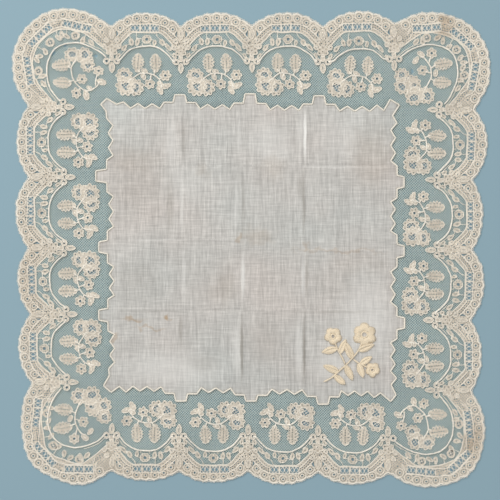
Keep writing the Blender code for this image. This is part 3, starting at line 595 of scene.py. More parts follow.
def tab_points(side, tab):
    """A square tab between its two shoulders."""
    points = []
    for ways in (-1, 1):
        near = tab.along + ways * SHOULDER_FROM
        far = tab.along + ways * SHOULDER_TO
        shoulder = [(place, edge_level(side, place) + SHOULDER_RISE) for place in (far, near)]
        points += [*shoulder, (tab.along + ways * TAB_HALF, tab.out)][::-ways]
    return points


def tooth_points(side, tab, whole, span, teeth=TEETH):
    """The teeth that follow a tab, so spaced that span of theirs fills the whole way."""
    places = [(tab.along + tooth.at * whole / span, tooth.rise) for tooth in teeth]
    return [(along, edge_level(side, along) + TOOTH_RISE * rise) for along, rise in places]


def end_teeth(side, tab, dip_along):
    """The teeth between the last tab and the corner's dip."""
    span = 2 * LAST_TOOTH.at - TEETH[-1].at
    return tooth_points(side, tab, dip_along - tab.along, span, (*TEETH, LAST_TOOTH))


def linen_edge():
    """The zigzag outline of the linen, clockwise from the top left corner."""
    points = []
    for side in range(SIDE_COUNT):
        before, after, tabs = CORNER_TABS[side - 1], CORNER_TABS[side], TABS[side]
        first_dip = turned(-side % SIDE_COUNT, (before.end_x, before.end_y))
        last_dip = turned(-side % SIDE_COUNT, (after.dip_x, after.dip_y))
        run = [first_dip, *reversed(end_teeth(side, tabs[0], first_dip[0]))]
        for tab, following in zip(tabs, tabs[1:]):
            run += tab_points(side, tab)
            run += tooth_points(side, tab, following.along - tab.along, TEETH[0].at + TEETH[-1].at)
        run += tab_points(side, tabs[-1]) + end_teeth(side, tabs[-1], last_dip[0])
        points += [turned(side, point) for point in run]
        tips = ((after.first_x, after.first_y), (after.second_x, after.second_y))
        points += [(after.dip_x, after.dip_y), *tips]
    return points


def place_matrix(side, point, tilt=0.0):
    """The place of a pattern at a point of a side's frame, turned with the side and by a tilt."""
    x, y = turned(side, point)
    return Matrix.Translation((x * MM, y * MM, 0)) @ Matrix.Rotation(tilt - side * math.pi / 2, 4, "Z")


def at_place(loop, place):
    moved = [place @ Vector((x * MM, y * MM, 0)) for x, y in loop]
    return [(point.x / MM, point.y / MM) for point in moved]


def flipped(points, flip_x, flip_y):
    return [(x * flip_x, y * flip_y) for x, y in points]


# Outlines and routes


def placed(points, x, y, turn=0):
    """Points turned by degrees about the origin and moved to a place."""
    angle = math.radians(turn)
    cos, sin = math.cos(angle), math.sin(angle)
    return [(x + px * cos - py * sin, y + px * sin + py * cos) for px, py in points]


def oval(half_x, half_y, sides, x=0.0, y=0.0, turn=0):
    angles = [math.tau * index / sides for index in range(sides)]
    return placed([(half_x * math.cos(angle), half_y * math.sin(angle)) for angle in angles], x, y, turn)


def circle(radius, sides, x=0.0, y=0.0):
    return oval(radius, radius, sides, x, y)


def round_about(x, y, radius, count):
    """Points evenly round a place, half a step on from the first petal."""
    angles = [math.tau * (step + 0.5) / count for step in range(count)]
    return [(x + radius * math.cos(angle), y + radius * math.sin(angle)) for angle in angles]


def petalled(half_x, half_y, petals, notch, steps=5):
    """A flower's outline: round petals with a notch of a share of the radius between them."""
    outline = []
    for index in range(petals * steps):
        angle = math.tau * index / (petals * steps)
        reach = 1 - notch * (1 - abs(math.sin(petals * angle / 2)))
        outline.append((half_x * reach * math.cos(angle), half_y * reach * math.sin(angle)))
    return outline


def leaf_body(share):
    """How wide a leaf is, as a share of its widest, at a share of its length."""
    return math.sin(math.pi * share**0.85) ** 0.62


def leaf_outline(length, width, teeth, notch, steps=4):
    """A leaf about its own middle, pointing along x, with rounded teeth."""
    outline = []
    count = teeth * steps
    for ways in (1, -1):
        for step in range(count):
            share = step / count if ways > 0 else 1 - step / count
            tooth = 1 - notch * (0.5 + 0.5 * math.cos(math.tau * teeth * share)) ** 1.6
            lean = notch * 0.1 * length * (tooth - 1 + notch) if 0 < share < 1 else 0.0
            outline.append((length * (share - 0.5) + lean, ways * width / 2 * leaf_body(share) * tooth))
    return outline


def spaced(points, spacing, closed=False):
    """The same polyline with points at even distances."""
    route = np.array([*points, points[0]] if closed else points, dtype=float)
    reach = np.concatenate(([0.0], np.cumsum(np.hypot(*np.diff(route, axis=0).T))))
    count = max(int(round(reach[-1] / spacing)), 3 if closed else 1)
    places = np.linspace(0.0, reach[-1], count + 1)[: count if closed else None]
    columns = [np.interp(places, reach, column) for column in route.T]
    return [tuple(row) for row in np.array(columns).T.tolist()]


def smoothed(points, spacing):
    """A smooth route through the points, by Catmull-Rom, with points at even distances."""
    corners = np.array(points, dtype=float)
    places = range(6 * (len(points) - 1) + 1)
    return spaced([tuple(smooth_value(corners, place / 6)) for place in places], spacing)


def lifted(points, height):
    return [(x, y, height) for x, y in points]


def cord_route(points, height, spacing=RIM_STEP):
    """The route of a cord along a closed outline."""
    return lifted(spaced(points, spacing, True), height)


def offset(points, distance):
    """A clockwise outline moved outwards by a distance, or inwards by a negative one."""
    moved = []
    for index, point in enumerate(points):
        here = Vector(point)
        out_back = leftwards((here - Vector(points[index - 1])).normalized())
        out_onward = leftwards((Vector(points[(index + 1) % len(points)]) - here).normalized())
        way = (out_back + out_onward).normalized()
        reach = distance / max(way.dot(out_back), 0.4)
        moved.append((here.x + way.x * reach, here.y + way.y * reach))
    return moved


def beside(points, distance):
    """An open route moved to its left by a distance."""
    moved = []
    for index, (x, y) in enumerate(points):
        way = Vector(points[min(index + 1, len(points) - 1)]) - Vector(points[max(index - 1, 0)])
        aside = leftwards(way.normalized()) * distance
        moved.append((x + aside.x, y + aside.y))
    return moved


def divided(loop, longest):
    """A closed outline with points added, so that no step is longer than so much."""
    points = []
    for start, end in zip(loop, loop[1:] + loop[:1]):
        steps = math.ceil(math.dist(start, end) / longest)
        points += [tuple(Vector(start).lerp(Vector(end), step / steps)) for step in range(steps)]
    return points


def inside(loop, points):
    """Which of the points lie inside a loop."""
    ends = np.array(loop)
    starts = np.roll(ends, 1, axis=0)
    xs, ys = points[:, 0][:, None], points[:, 1][:, None]
    across = (starts[:, 1] > ys) != (ends[:, 1] > ys)
    drop = np.where(ends[:, 1] == starts[:, 1], 1e-9, ends[:, 1] - starts[:, 1])
    meets = starts[:, 0] + (ys - starts[:, 1]) / drop * (ends[:, 0] - starts[:, 0])
    return ((across & (xs < meets)).sum(axis=1) % 2).astype(bool)


def crossing_runs(loops, pitch, angle, shift=0.0):
    """Straight runs at a pitch and an angle, where they lie inside the loops by the even-odd rule."""
    turn = math.radians(angle)
    way = np.array((math.cos(turn), math.sin(turn)))
    across = np.array((-math.sin(turn), math.cos(turn)))
    starts = np.concatenate([np.array(loop) for loop in loops])
    ends = np.concatenate([np.roll(np.array(loop), -1, axis=0) for loop in loops])
    start_level, end_level = starts @ across, ends @ across
    start_along, end_along = starts @ way, ends @ way
    low = math.ceil((start_level.min() - shift) / pitch)
    high = math.floor((start_level.max() - shift) / pitch)
    runs = []
    for index in range(low, high + 1):
        level = index * pitch + shift
        cut = (start_level <= level) != (end_level <= level)
        part = (level - start_level[cut]) / (end_level[cut] - start_level[cut])
        meets = np.sort(start_along[cut] + part * (end_along[cut] - start_along[cut]))
        for begin, end in zip(meets[::2], meets[1::2]):
            runs.append((tuple(way * begin + across * level), tuple(way * end + across * level)))
    return runs


# Meshes

Flat = namedtuple("Flat", "loops bottom thick")
Placed = namedtuple("Placed", "part place")
Part = namedtuple("Part", "loops corded")


def add_object(name, data):
    made = bpy.data.objects.new(name, data)
    bpy.context.scene.collection.objects.link(made)
    return made


def add_spline(curve, route, closed):
    """Adds a route of x, y and z to a curve."""
    spline = curve.splines.new("POLY")
    spline.points.add(len(route) - 1)
    spline.points.foreach_set("co", [value for x, y, z in route for value in (x * MM, y * MM, z * MM, 1.0)])
    spline.use_cyclic_u = closed
    return spline


def closed_mesh(curve, smooth):
    """A curve as a mesh whose caps are joined to its rim."""
    bare = bpy.data.objects.new(curve.name, curve)
    mesh = bpy.data.meshes.new_from_object(bare)
    bpy.data.objects.remove(bare)
    bpy.data.curves.remove(curve)
    shape = bmesh.new()
    shape.from_mesh(mesh)
    bmesh.ops.remove_doubles(shape, verts=shape.verts, dist=WELD * MM)
    bmesh.ops.recalc_face_normals(shape, faces=shape.faces)
    for face in shape.faces:
        face.smooth = smooth
    shape.to_mesh(mesh)
    shape.free()
    return mesh


def flat_mesh(loops, bottom, thick):
    """A flat of cloth work from its outline and the outlines of its holes, as a filled curve."""
    curve = bpy.data.curves.new("flat", "CURVE")
    curve.dimensions = "2D"
    curve.fill_mode = "BOTH"
    curve.extrude = thick * MM / 2
    for loop in loops:
        add_spline(curve, lifted(loop, 0.0), True)
    mesh = closed_mesh(curve, False)
    mesh.transform(Matrix.Translation((0, 0, (bottom + thick / 2) * MM)))
    return mesh


def thread_mesh(routes, thick, sides=4, closed=False, rib=0.0, taper=1.0):
    """Round threads so many metres thick. A rib makes every second point thinner, as twisted yarn is."""
    curve = bpy.data.curves.new("thread", "CURVE")
    curve.dimensions = "3D"
    curve.twist_mode = "Z_UP"
    curve.bevel_depth = thick / 2
    curve.bevel_resolution = (sides - 4) // 2
    curve.use_fill_caps = not closed
    for route in routes:
        widths = [1 - rib * (index % 2) for index in range(len(route))]
        if not closed:
            widths[0] *= taper
            widths[-1] *= taper
        add_spline(curve, route, closed).points.foreach_set("radius", widths)
    mesh = closed_mesh(curve, True)
    marks = mesh.attributes.new("raised", "FLOAT", "POINT")
    marks.data.foreach_set("value", [1.0] * len(mesh.vertices))
    return mesh


def drawn_aside(x, y, wander=UNEVEN):
    """Where work done by hand, a little out of true, carries a point, in millimetres."""
    moved_x, moved_y = x, y
    for grain, reach, level in wander:
        pull = noise.noise_vector(Vector((x / grain, y / grain, level)))
        moved_x += pull.x * reach
        moved_y += pull.y * reach
    return moved_x, moved_y


def joined(name, parts, surface, by_hand=True):
    """One object from flats and threads, some of them at places. Work done by hand is a little uneven."""
    shape = bmesh.new()
    threads = set()
    for each in parts:
        part, place = each if isinstance(each, Placed) else (each, Matrix())
        if isinstance(part, Flat):
            # Flats are drawn aside before they are filled, so that no triangle turns over.
            loops = [divided(at_place(loop, place), LONGEST_STEP) for loop in part.loops]
            loops = [[drawn_aside(*point) for point in loop] for loop in loops]
            mesh = flat_mesh(loops, part.bottom, part.thick)
        else:
            threads.add(part)
            mesh = part.copy()
            mesh.transform(place)
            for vert in mesh.vertices if by_hand else ():
                x, y = drawn_aside(vert.co.x / MM, vert.co.y / MM)
                vert.co.x, vert.co.y = x * MM, y * MM
        shape.from_mesh(mesh)
        bpy.data.meshes.remove(mesh)
    for mesh in threads:
        bpy.data.meshes.remove(mesh)
    whole = bpy.data.meshes.new(name)
    shape.to_mesh(whole)
    shape.free()
    whole.materials.append(surface)
    return add_object(name, whole)


def laid(parts, bottom, thick, layers, opening_step=RIM_STEP):
    """Flats in a few thin layers, and the routes of the cords round their rims and their first openings."""
    flats, rims = [], []
    for index, part in enumerate(parts):
        level = bottom + LAYER * (index % layers)
        flats.append(Flat(part.loops, level, thick))
        rims.append(cord_route(part.loops[0], level + thick))
        rims += [cord_route(loop, level + thick, opening_step) for loop in part.loops[1 : part.corded]]
    return flats, rims


def hand_over(piece, slot, *nodes):
    """Fixes a piece to the body and hides the parts that it stands for. The slot of its finish is not used.
    """
    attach(piece, "root")
    if nodes:
        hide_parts(*nodes)


class Cloth:
    """A flat of cloth work, with the holes cut so far. It says where another hole has room."""

    CELL = 1.0
    SAMPLE = 0.4

    def __init__(self, rim):
        self.loops = [rim]
        self.wide = []
        self.cells = {}
        self.note(rim)

    def note(self, loop):
        for x, y in spaced(loop, self.SAMPLE, True):
            self.cells.setdefault((int(x // self.CELL), int(y // self.CELL)), []).append((x, y))

    def near(self, x, y):
        column, row = int(x // self.CELL), int(y // self.CELL)
        for across in (-1, 0, 1):
            for up in (-1, 0, 1):
                yield from self.cells.get((column + across, row + up), ())

    def cut(self, hole, margin, wide=False):
        """Cuts a hole if there is room for it."""
        least = margin + self.SAMPLE / 4
        if any(math.dist(point, near) < least for point in hole for near in self.near(*point)):
            return
        points = np.array(hole)
        if not inside(self.loops[0], points).all() or any(inside(loop, points[:1])[0] for loop in self.wide):
            return
        self.loops.append(hole)
        self.note(hole)
        if wide:
            self.wide.append(hole)

    def pin_holes(self, points, radius, margin=0.28, sides=6):
        for x, y in points:
            self.cut(circle(radius, sides, x, y), margin)


# Materials


def add_node(tree, kind, inputs=(), **settings):
    """Adds a node with its settings, and gives each input its value or its link."""
    node = tree.nodes.new(kind)
    for name, value in settings.items():
        setattr(node, name, value)
    for key, value in dict(inputs).items():
        if isinstance(value, bpy.types.NodeSocket):
            tree.links.new(value, node.inputs[key])
        else:
            node.inputs[key].default_value = value
    return node


def fibre(name, roughness, sheen):
    """A new material for plain fibre, with its tree and the place on the piece."""
    made = bpy.data.materials.new(name)
    made.use_nodes = True
    tree = made.node_tree
    inputs = tree.nodes["Principled BSDF"].inputs
    inputs["Roughness"].default_value = roughness
    inputs["Specular IOR Level"].default_value = 0.25
    inputs["Sheen Weight"].default_value = sheen
    inputs["Sheen Roughness"].default_value = 0.6
    return made, tree, add_node(tree, "ShaderNodeTexCoord").outputs["Object"]


def cloud(tree, place, size, low, high, detail=2.0):
    """A soft uneven value. size is its grain in millimetres, along x and along y."""
    scale = (1 / (size[0] * MM), 1 / (size[1] * MM), 1 / (size[0] * MM))
    spread = add_node(tree, "ShaderNodeMapping", {"Vector": place, "Scale": scale}).outputs["Vector"]
    grain = add_node(tree, "ShaderNodeTexNoise", {"Vector": spread, "Scale": 1.0, "Detail": detail})
    limits = {"Value": grain.outputs[0], "From Min": 0.3, "From Max": 0.7, "To Min": low, "To Max": high}
    return add_node(tree, "ShaderNodeMapRange", limits).outputs[0]


def uneven(tree, place, colour, *clouds):
    """A colour made lighter and darker by clouds."""
    values = [cloud(tree, place, *each) for each in clouds]
    whole = values[0]
    for value in values[1:]:
        whole = add_node(tree, "ShaderNodeMath", {0: whole, 1: value}, operation="MULTIPLY").outputs[0]
    mix = {0: 1.0, 6: colour, 7: whole}
    return add_node(tree, "ShaderNodeMix", mix, data_type="RGBA", blend_type="MULTIPLY").outputs[2]


WAVE_TURN = math.tau / 20


def weave(tree, place, pitch):
    """Threads that run both ways at a pitch in millimetres, as a height from 0 to 1."""
    bands = {"Vector": place, "Scale": WAVE_TURN / (pitch * MM), "Distortion": 0.0}
    heights = [add_node(tree, "ShaderNodeTexWave", bands, bands_direction=way).outputs[1] for way in "XY"]
    return add_node(tree, "ShaderNodeMath", dict(enumerate(heights)), operation="MAXIMUM").outputs[0]


def with_patches(tree, place, colour, patches, patch_colour, reach=14.0):
    """A colour with soft patches of another colour, for stains, wear, and painted light and shade: each an
    oval of given halves, ragged by a reach, in millimetres.
    """
    ragged = add_node(tree, "ShaderNodeTexNoise", {"Vector": place, "Scale": 1 / (7.0 * MM), "Detail": 2.0})
    middle = {0: ragged.outputs[1], 1: (0.5, 0.5, 0.5)}
    pull = add_node(tree, "ShaderNodeVectorMath", middle, operation="SUBTRACT").outputs[0]
    far = {0: pull, "Scale": reach * MM}
    pulled = add_node(tree, "ShaderNodeVectorMath", far, operation="SCALE").outputs[0]
    moved = add_node(tree, "ShaderNodeVectorMath", {0: place, 1: pulled}, operation="ADD").outputs[0]
    for stain_and_shade in patches:
        centred = {
            "Vector": moved,
            "Location": (-stain_and_shade.x / stain_and_shade.half_x, -stain_and_shade.y / stain_and_shade.half_y, 0.0),
            "Scale": (1 / (stain_and_shade.half_x * MM), 1 / (stain_and_shade.half_y * MM), 0.0),
        }
        near = add_node(tree, "ShaderNodeMapping", centred).outputs["Vector"]
        length = add_node(tree, "ShaderNodeVectorMath", {0: near}, operation="LENGTH").outputs["Value"]
        fade = {"Value": length, "From Min": 0.2, "From Max": 1.0, "To Min": stain_and_shade.strength, "To Max": 0.0}
        share = add_node(tree, "ShaderNodeMapRange", fade, interpolation_type="SMOOTHSTEP").outputs[0]
        mix = {0: share, 6: colour, 7: patch_colour}
        colour = add_node(tree, "ShaderNodeMix", mix, data_type="RGBA").outputs[2]
    return colour


def finish_fibre(tree, colour, height, strength, depth):
    """Links colour and bump to the shader. depth is the bump's height in millimetres."""
    shader = tree.nodes["Principled BSDF"]
    bump = add_node(tree, "ShaderNodeBump", {"Height": height, "Strength": strength, "Distance": depth * MM})
    tree.links.new(bump.outputs["Normal"], shader.inputs["Normal"])
    tree.links.new(colour, shader.inputs["Base Color"])


def linen_material(looks):
    """Washed linen batiste, plain woven: a dull grey-white with slubs, streaks, faint stains and wear, and
    painted light and shade along its folds and over its waves.
    """
    made, tree, place = fibre("washed_linen_batiste", 0.85, 0.1)
    aged = {0: cloud(tree, place, (90, 70), 0.0, 1.0), 6: looks.linen, 7: looks.aged_linen}
    fibres = add_node(tree, "ShaderNodeMix", aged, data_type="RGBA").outputs[2]
    # A slub is a thick stretch of one thread of 0.35 mm. It is drawn 1.5 mm wide, or it wouldn't show.
    slubs = (((1.5, 42), 0.90, 1.10), ((38, 1.5), 0.93, 1.07))
    threads = (((0.9, 9), 0.88, 1.12), ((9, 0.9), 0.91, 1.09))
    colour = uneven(tree, place, fibres, *slubs, *threads, ((40, 60), 0.975, 1.025))
    # Painted highlights and painted shade along the folds and over the waves, partly also wear and soil.
    colour = with_patches(tree, place, colour, WORN_AND_LIT_PLACES, looks.worn_and_lit, 1.6)
    colour = with_patches(tree, place, colour, SOILED_AND_SHADED_PLACES, looks.soiled_and_shaded, 1.6)
    # Stains, and painted shade on some folds and waves.
    colour = with_patches(tree, place, colour, LINEN_STAINS_AND_SHADE, looks.stain_and_shade)
    finish_fibre(tree, colour, weave(tree, place, 0.5), 0.25, 0.08)
    return made


def lace_material(looks):
    """Cotton needle lace: close buttonhole stitches, which give a grainy cream surface with age stains."""
    made, tree, place = fibre("cotton_needle_lace", 0.8, 0.15)
    # Cords worked round a shape are brighter than the stitches inside it.
    raised = add_node(tree, "ShaderNodeAttribute", attribute_name="raised").outputs["Fac"]
    mixed = {0: raised, 6: looks.lace, 7: looks.cord}
    fibres = add_node(tree, "ShaderNodeMix", mixed, data_type="RGBA").outputs[2]
    colour = uneven(tree, place, fibres, ((1.2, 1.2), 0.74, 1.14, 3.0), ((17, 17), 0.92, 1.08))
    # Age stains, and painted shade along the lace's left and bottom sides.
    colour = with_patches(tree, place, colour, LACE_STAINS_AND_SHADE, looks.stain_and_shade)
    # Rows of buttonhole stitches, 0.6 mm apart
    finish_fibre(tree, colour, weave(tree, place, 0.6), 0.6, 0.15)
    return made


def cord_material(looks):
    """Cotton cord overcast with thread: brighter than the lace, with the thread's fine grain."""
    made, tree, place = fibre("overcast_cotton_cord", 0.7, 0.25)
    colour = uneven(tree, place, looks.cord, ((0.9, 0.9), 0.93, 1.06, 3.0), ((22, 22), 0.96, 1.04))
    # Age stains, and painted shade along the lace's left and bottom sides.
    colour = with_patches(tree, place, colour, LACE_STAINS_AND_SHADE, looks.stain_and_shade)
    finish_fibre(tree, colour, cloud(tree, place, (0.35, 0.35), 0.0, 1.0), 0.5, 0.1)
    return made


def net_material(looks):
    """Fine cotton net thread: matt and a little greyer than the lace."""
    made, tree, place = fibre("fine_cotton_net", 0.85, 0.1)
    colour = uneven(tree, place, looks.net, ((1.1, 1.1), 0.94, 1.06), ((24, 24), 0.93, 1.07))
    finish_fibre(tree, colour, cloud(tree, place, (0.3, 0.3), 0.0, 1.0), 0.4, 0.06)
    return made


def embroidery_material(looks):
    """Soft embroidery cotton, laid in satin stitches: cream with the sheen of smooth strands."""
    made, tree, place = fibre("mercerised_embroidery_cotton", 0.5, 0.35)
    colour = uneven(tree, place, looks.embroidery, ((0.8, 0.8), 0.94, 1.05, 3.0), ((9, 9), 0.95, 1.04))
    finish_fibre(tree, colour, cloud(tree, place, (0.3, 0.3), 0.0, 1.0), 0.4, 0.08)
    return made


# The linen


def fold_way(fold, crossing, along):
    """Whether a fold is a ridge or a groove at a place along it. It turns over where others cross it."""
    way = fold.ways[0]
    for other, following in zip(crossing, fold.ways[1:]):
        way += (following - way) * min(max((along - other.place) / FOLD_TURN + 0.5, 0.0), 1.0)
    return way


def fold_height(along, across, folds, crossing):
    """How far the folds that run one way lift the linen at a point."""
    height = 0.0
    for fold in folds:
        apart = abs(across - fold.place) / fold.half
        way = fold_way(fold, crossing, along)
        if apart < 1:
            height += way * fold.rise * (1 - apart) ** 1.2
        if apart < 7:
            height += 0.6 * max(-way, 0.0) * fold.rise * (1 - (apart / 7) ** 2) ** 2
    return height


def linen_height(x, y):
    """The height of the linen's upper side, with its folds and the soft waves between them."""
    rim = min(max((102.0 - max(abs(x), abs(y))) / 8.0, 0.0), 1.0)
    flat = min(max((math.dist((x, y), SPRIG_PLACE) - 26.0) / 14.0, 0.0), 1.0)
    folds = fold_height(y, x, FOLDS_ACROSS_X, FOLDS_ACROSS_Y)
    folds += fold_height(x, y, FOLDS_ACROSS_Y, FOLDS_ACROSS_X)
    broad = noise.noise(Vector((x / 30, y / 30, 3.7))) * 0.75
    fine = noise.noise(Vector((x / 11, y / 15, 9.1))) * 0.14
    waves = max((broad + 0.35 + fine) * rim, 0.0)
    return LINEN_TOP + max(folds * rim * flat + waves * flat, -0.18)


def crossing_places(folds, spacing):
    """Where a grid's lines cross: evenly spaced, and closer together over each fold."""
    parts = (-1.6, -1.0, -0.5, 0.0, 0.5, 1.0, 1.6)
    close = [fold.place + part * fold.half for fold in folds for part in parts]
    even = [index * spacing for index in range(-56, 57)]
    return close + [step for step in even if min(abs(step - near) for near in close) > spacing * 0.4]


def linen_mesh(name, outline, spacing):
    """The linen's upper side as an open sheet, divided finely enough for its folds."""
    keep = []
    for start, end in zip(outline, outline[1:] + outline[:1]):
        steps = max(int(math.dist(start, end) / spacing), 1)
        keep += [Vector(start).lerp(Vector(end), step / steps) for step in range(steps)]
    rim = list(range(len(keep)))
    edges = list(zip(rim, rim[1:] + rim[:1]))
    levels = crossing_places(FOLDS_ACROSS_Y, spacing)
    grid = np.array([(x, y) for x in crossing_places(FOLDS_ACROSS_X, spacing) for y in levels])
    keep += [Vector(point) for point in grid[inside(offset(outline, -0.5), grid)].tolist()]
    inside_only = 1
    points, _, faces, *_ = delaunay_2d_cdt(keep, edges, [rim], inside_only, 0.01)
    shape = bmesh.new()
    verts = [shape.verts.new((x * MM, y * MM, linen_height(x, y) * MM)) for x, y in points]
    for face in faces:
        shape.faces.new([verts[index] for index in face]).smooth = True
    bmesh.ops.recalc_face_normals(shape, faces=shape.faces)
    if sum(face.normal.z for face in shape.faces) < 0:
        bmesh.ops.reverse_faces(shape, faces=shape.faces)
    mesh = bpy.data.meshes.new(name)
    shape.to_mesh(mesh)
    shape.free()
    return mesh


class HANDKERCHIEF_OT_linen(bpy.types.Operator):
    """Makes the linen centre with its ironed folds"""

    bl_idname = "handkerchief.linen"
    bl_label = "Linen Centre"

    def execute(self, context):
        piece = add_object("linen_cloth", linen_mesh("linen_cloth", linen_edge(), 2.0))
        piece.data.materials.append(linen_material(context.scene.handkerchief_looks))
        cloth = piece.modifiers.new("cloth", "SOLIDIFY")
        cloth.thickness = context.scene.handkerchief_sizes.linen_thickness
        cloth.offset = -1
        hand_over(piece, "linen", "linen_centre")
        return {"FINISHED"}


class HANDKERCHIEF_OT_linen_edge(bpy.types.Operator):
    """Works the buttonholed cord over the linen's zigzag edge"""

    bl_idname = "handkerchief.linen_edge"
    bl_label = "Linen Edge Cord"

    def execute(self, context):
        core = context.scene.handkerchief_sizes.edge_cord / MM
        low, high = EDGE_CORD_LEVEL - 0.1, EDGE_CORD_LEVEL + core * 0.52
        route = spaced(linen_edge(), 1.0, True)
        stitches = []
        for index, point in enumerate(route):
            here = Vector(point)
            way = (Vector(route[(index + 1) % len(route)]) - Vector(route[index - 1])).normalized()
            across = leftwards(way) * core * 0.62
            foot = across + way * 0.25
            middle = across * 0.45
            points = (here - foot, here - middle, here + middle, here + foot)
            stitches.append([(*point, level) for point, level in zip(points, (low, high, high, low))])
        cord = thread_mesh([lifted(route, EDGE_CORD_LEVEL)], core * MM, 6, True)
        cords = [cord, thread_mesh(stitches, 0.42 * MM)]
        piece = joined("linen_edge_stitches", cords, cord_material(context.scene.handkerchief_looks), False)
        hand_over(piece, "cord", "linen_edge_cord")
        return {"FINISHED"}


# The sprays


def spray_leaf(leaf):
    """A toothed leaf with a row of eyes along its midrib and a slit in each tooth."""
    length, width = 2 * max(leaf.half_x, leaf.half_y), 2 * min(leaf.half_x, leaf.half_y) + 1.4
    turn = leaf.turn if leaf.half_x > leaf.half_y else leaf.turn + 90
    loops = [leaf_outline(length, width, LEAF_TEETH, 0.42, 6)]
    loops += [oval(0.52, 0.42, 8, share * length) for share in LEAF_EYES]
    for tooth in range(1, LEAF_TEETH - 1):
        x = length * ((tooth + 0.45) / LEAF_TEETH - 0.5)
        loops += [oval(0.85, 0.3, 6, x, ways * width * 0.27, ways * 62) for ways in (-1, 1)]
    return [placed(loop, leaf.x, leaf.y, turn) for loop in loops]


def spray_opening(opening):
    """The outline of the opening in the middle of a lobe."""
    return oval(opening.half_x, opening.half_y, 18, opening.x, opening.y, opening.turn)


def spray_lobe(lobe_, opening):
    """An open lobe of the large flower, with a slit in each of its petals."""
    petals = 10 if lobe_.half_x > 6 else 9
    half_x, half_y = lobe_.half_x + 0.45, lobe_.half_y + 0.45
    cloth = Cloth(placed(petalled(half_x, half_y, petals, 0.24, 6), lobe_.x, lobe_.y, lobe_.turn))
    cloth.cut(spray_opening(opening), 0.2, True)
    for index in range(petals):
        angle = math.tau * (index + 0.5) / petals
        at = [(half_x * 0.79 * math.cos(angle), half_y * 0.79 * math.sin(angle))]
        slit_x, slit_y = placed(at, lobe_.x, lobe_.y, lobe_.turn)[0]
        cloth.cut(oval(0.62, 0.4, 6, slit_x, slit_y, lobe_.turn + math.degrees(angle)), 0.2)
    return cloth.loops


def spray_parts(pattern):
    """A spray's parts, and the openings through which no net shows."""
    parts = [Part(spray_lobe(*each), 2) for each in zip(pattern.lobes, pattern.openings)]
    clear = [spray_opening(opening) for opening in pattern.openings]
    parts += [Part(spray_leaf(leaf), 1) for leaf in pattern.leaves]
    for bloom in pattern.blooms:
        rim = petalled(bloom.half_x + 0.3, bloom.half_y + 0.3, 6, 0.34, 6)
        pins = [oval(0.42, 0.3, 6, x, y) for x, y in round_about(0, 0, 2.45, 6)]
        loops = [placed(loop, bloom.x, bloom.y, bloom.turn) for loop in (rim, circle(1.15, 12), *pins)]
        parts.append(Part(loops, 2))
        clear.append(loops[1])
    for leaflet in pattern.leaflets:
        rim = leaf_outline(2 * leaflet.half_x + 0.6, 2 * leaflet.half_y + 0.5, 3, 0.3)
        slit = oval(leaflet.half_x * 0.42, 0.3, 6)
        parts.append(Part([placed(loop, leaflet.x, leaflet.y, leaflet.turn) for loop in (rim, slit)], 2))
    return parts, clear


def spray_kind(side, unit):
    """The pattern of a spray, and how it is flipped."""
    if unit == CORNER:
        return (ODD if side % 2 else EVEN), 1, 1
    return PLAIN, hand(side), -1


def spray_meshes(side, unit, sizes):
    """A spray's flats, the cords around them, the lattice in its open lobes and its stems."""
    pattern, flip_x, flip_y = spray_kind(side, unit)
    parts = []
    for part in spray_parts(pattern)[0]:
        parts.append(Part([flipped(loop, flip_x, flip_y) for loop in part.loops], part.corded))
    flats, rims = laid(parts, SPRAY_BOTTOM, SPRAY_THICK, 4, OPENING_STEP)
    bars = []
    for opening in pattern.openings:
        hole = flipped(spray_opening(opening), flip_x, flip_y)
        runs = crossing_runs([hole], 1.7, 38, 0.4) + crossing_runs([hole], 1.7, 128, 0.4)
        bars += [lifted(run, SPRAY_BOTTOM + 0.2) for run in runs]
    stems = [smoothed(flipped(stem, flip_x, flip_y), ROUTE_STEP) for stem in pattern.stems]
    stems = [lifted(stem, SPRAY_BOTTOM + 0.25) for stem in stems]
    rim_mesh = thread_mesh(rims, sizes.motif_cord, 4, True, 0.2)
    bar_mesh = thread_mesh(bars, sizes.bar_thread)
    stem_mesh = thread_mesh(stems, sizes.stem, 6, False, 0.12)
    return [*flats, rim_mesh, bar_mesh, stem_mesh]


def spray_place(side, unit):
    """The place of a spray. Those of plain scallops lie a little aside of the middle."""
    if unit == CORNER:
        return place_matrix(side, corner_centre(side))
    valley, following = VALLEYS[side][unit : unit + 2]
    shift = SPRAY_SHIFTS[side][unit]
    along, out = unit_point(side, unit, 0.5, shift.inwards)
    slope = math.atan2(following.out - valley.out, following.along - valley.along)
    return place_matrix(side, (along + shift.along, out), slope - math.radians(shift.turn))


class HANDKERCHIEF_OT_sprays(bpy.types.Operator):
    """Makes the flower sprays with their open lobes, leaves and blooms"""

    bl_idname = "handkerchief.sprays"
    bl_label = "Flower Sprays"

    def execute(self, context):
        surface = lace_material(context.scene.handkerchief_looks)
        for units, name in ((PLAIN_UNITS, "scallop_sprays"), ((CORNER,), "corner_sprays")):
            kinds = [spray_meshes(side, units[0], context.scene.handkerchief_sizes) for side in (0, 1)]
            parts = []
            nodes = []
            for side in range(SIDE_COUNT):
                for unit in units:
                    parts += [Placed(part, spray_place(side, unit)) for part in kinds[side % 2]]
                    nodes.append(f"spray_{side * UNITS_A_SIDE + unit + 1:02d}")
            hand_over(joined(name, parts, surface), "lace", *nodes)
        return {"FINISHED"}


# The fleurons


def fleuron_eyelets():
    return [circle(EYELET_HOLE, 12, ways * EYELET_OUT, -EYELET_T) for ways in (-1, 1)]


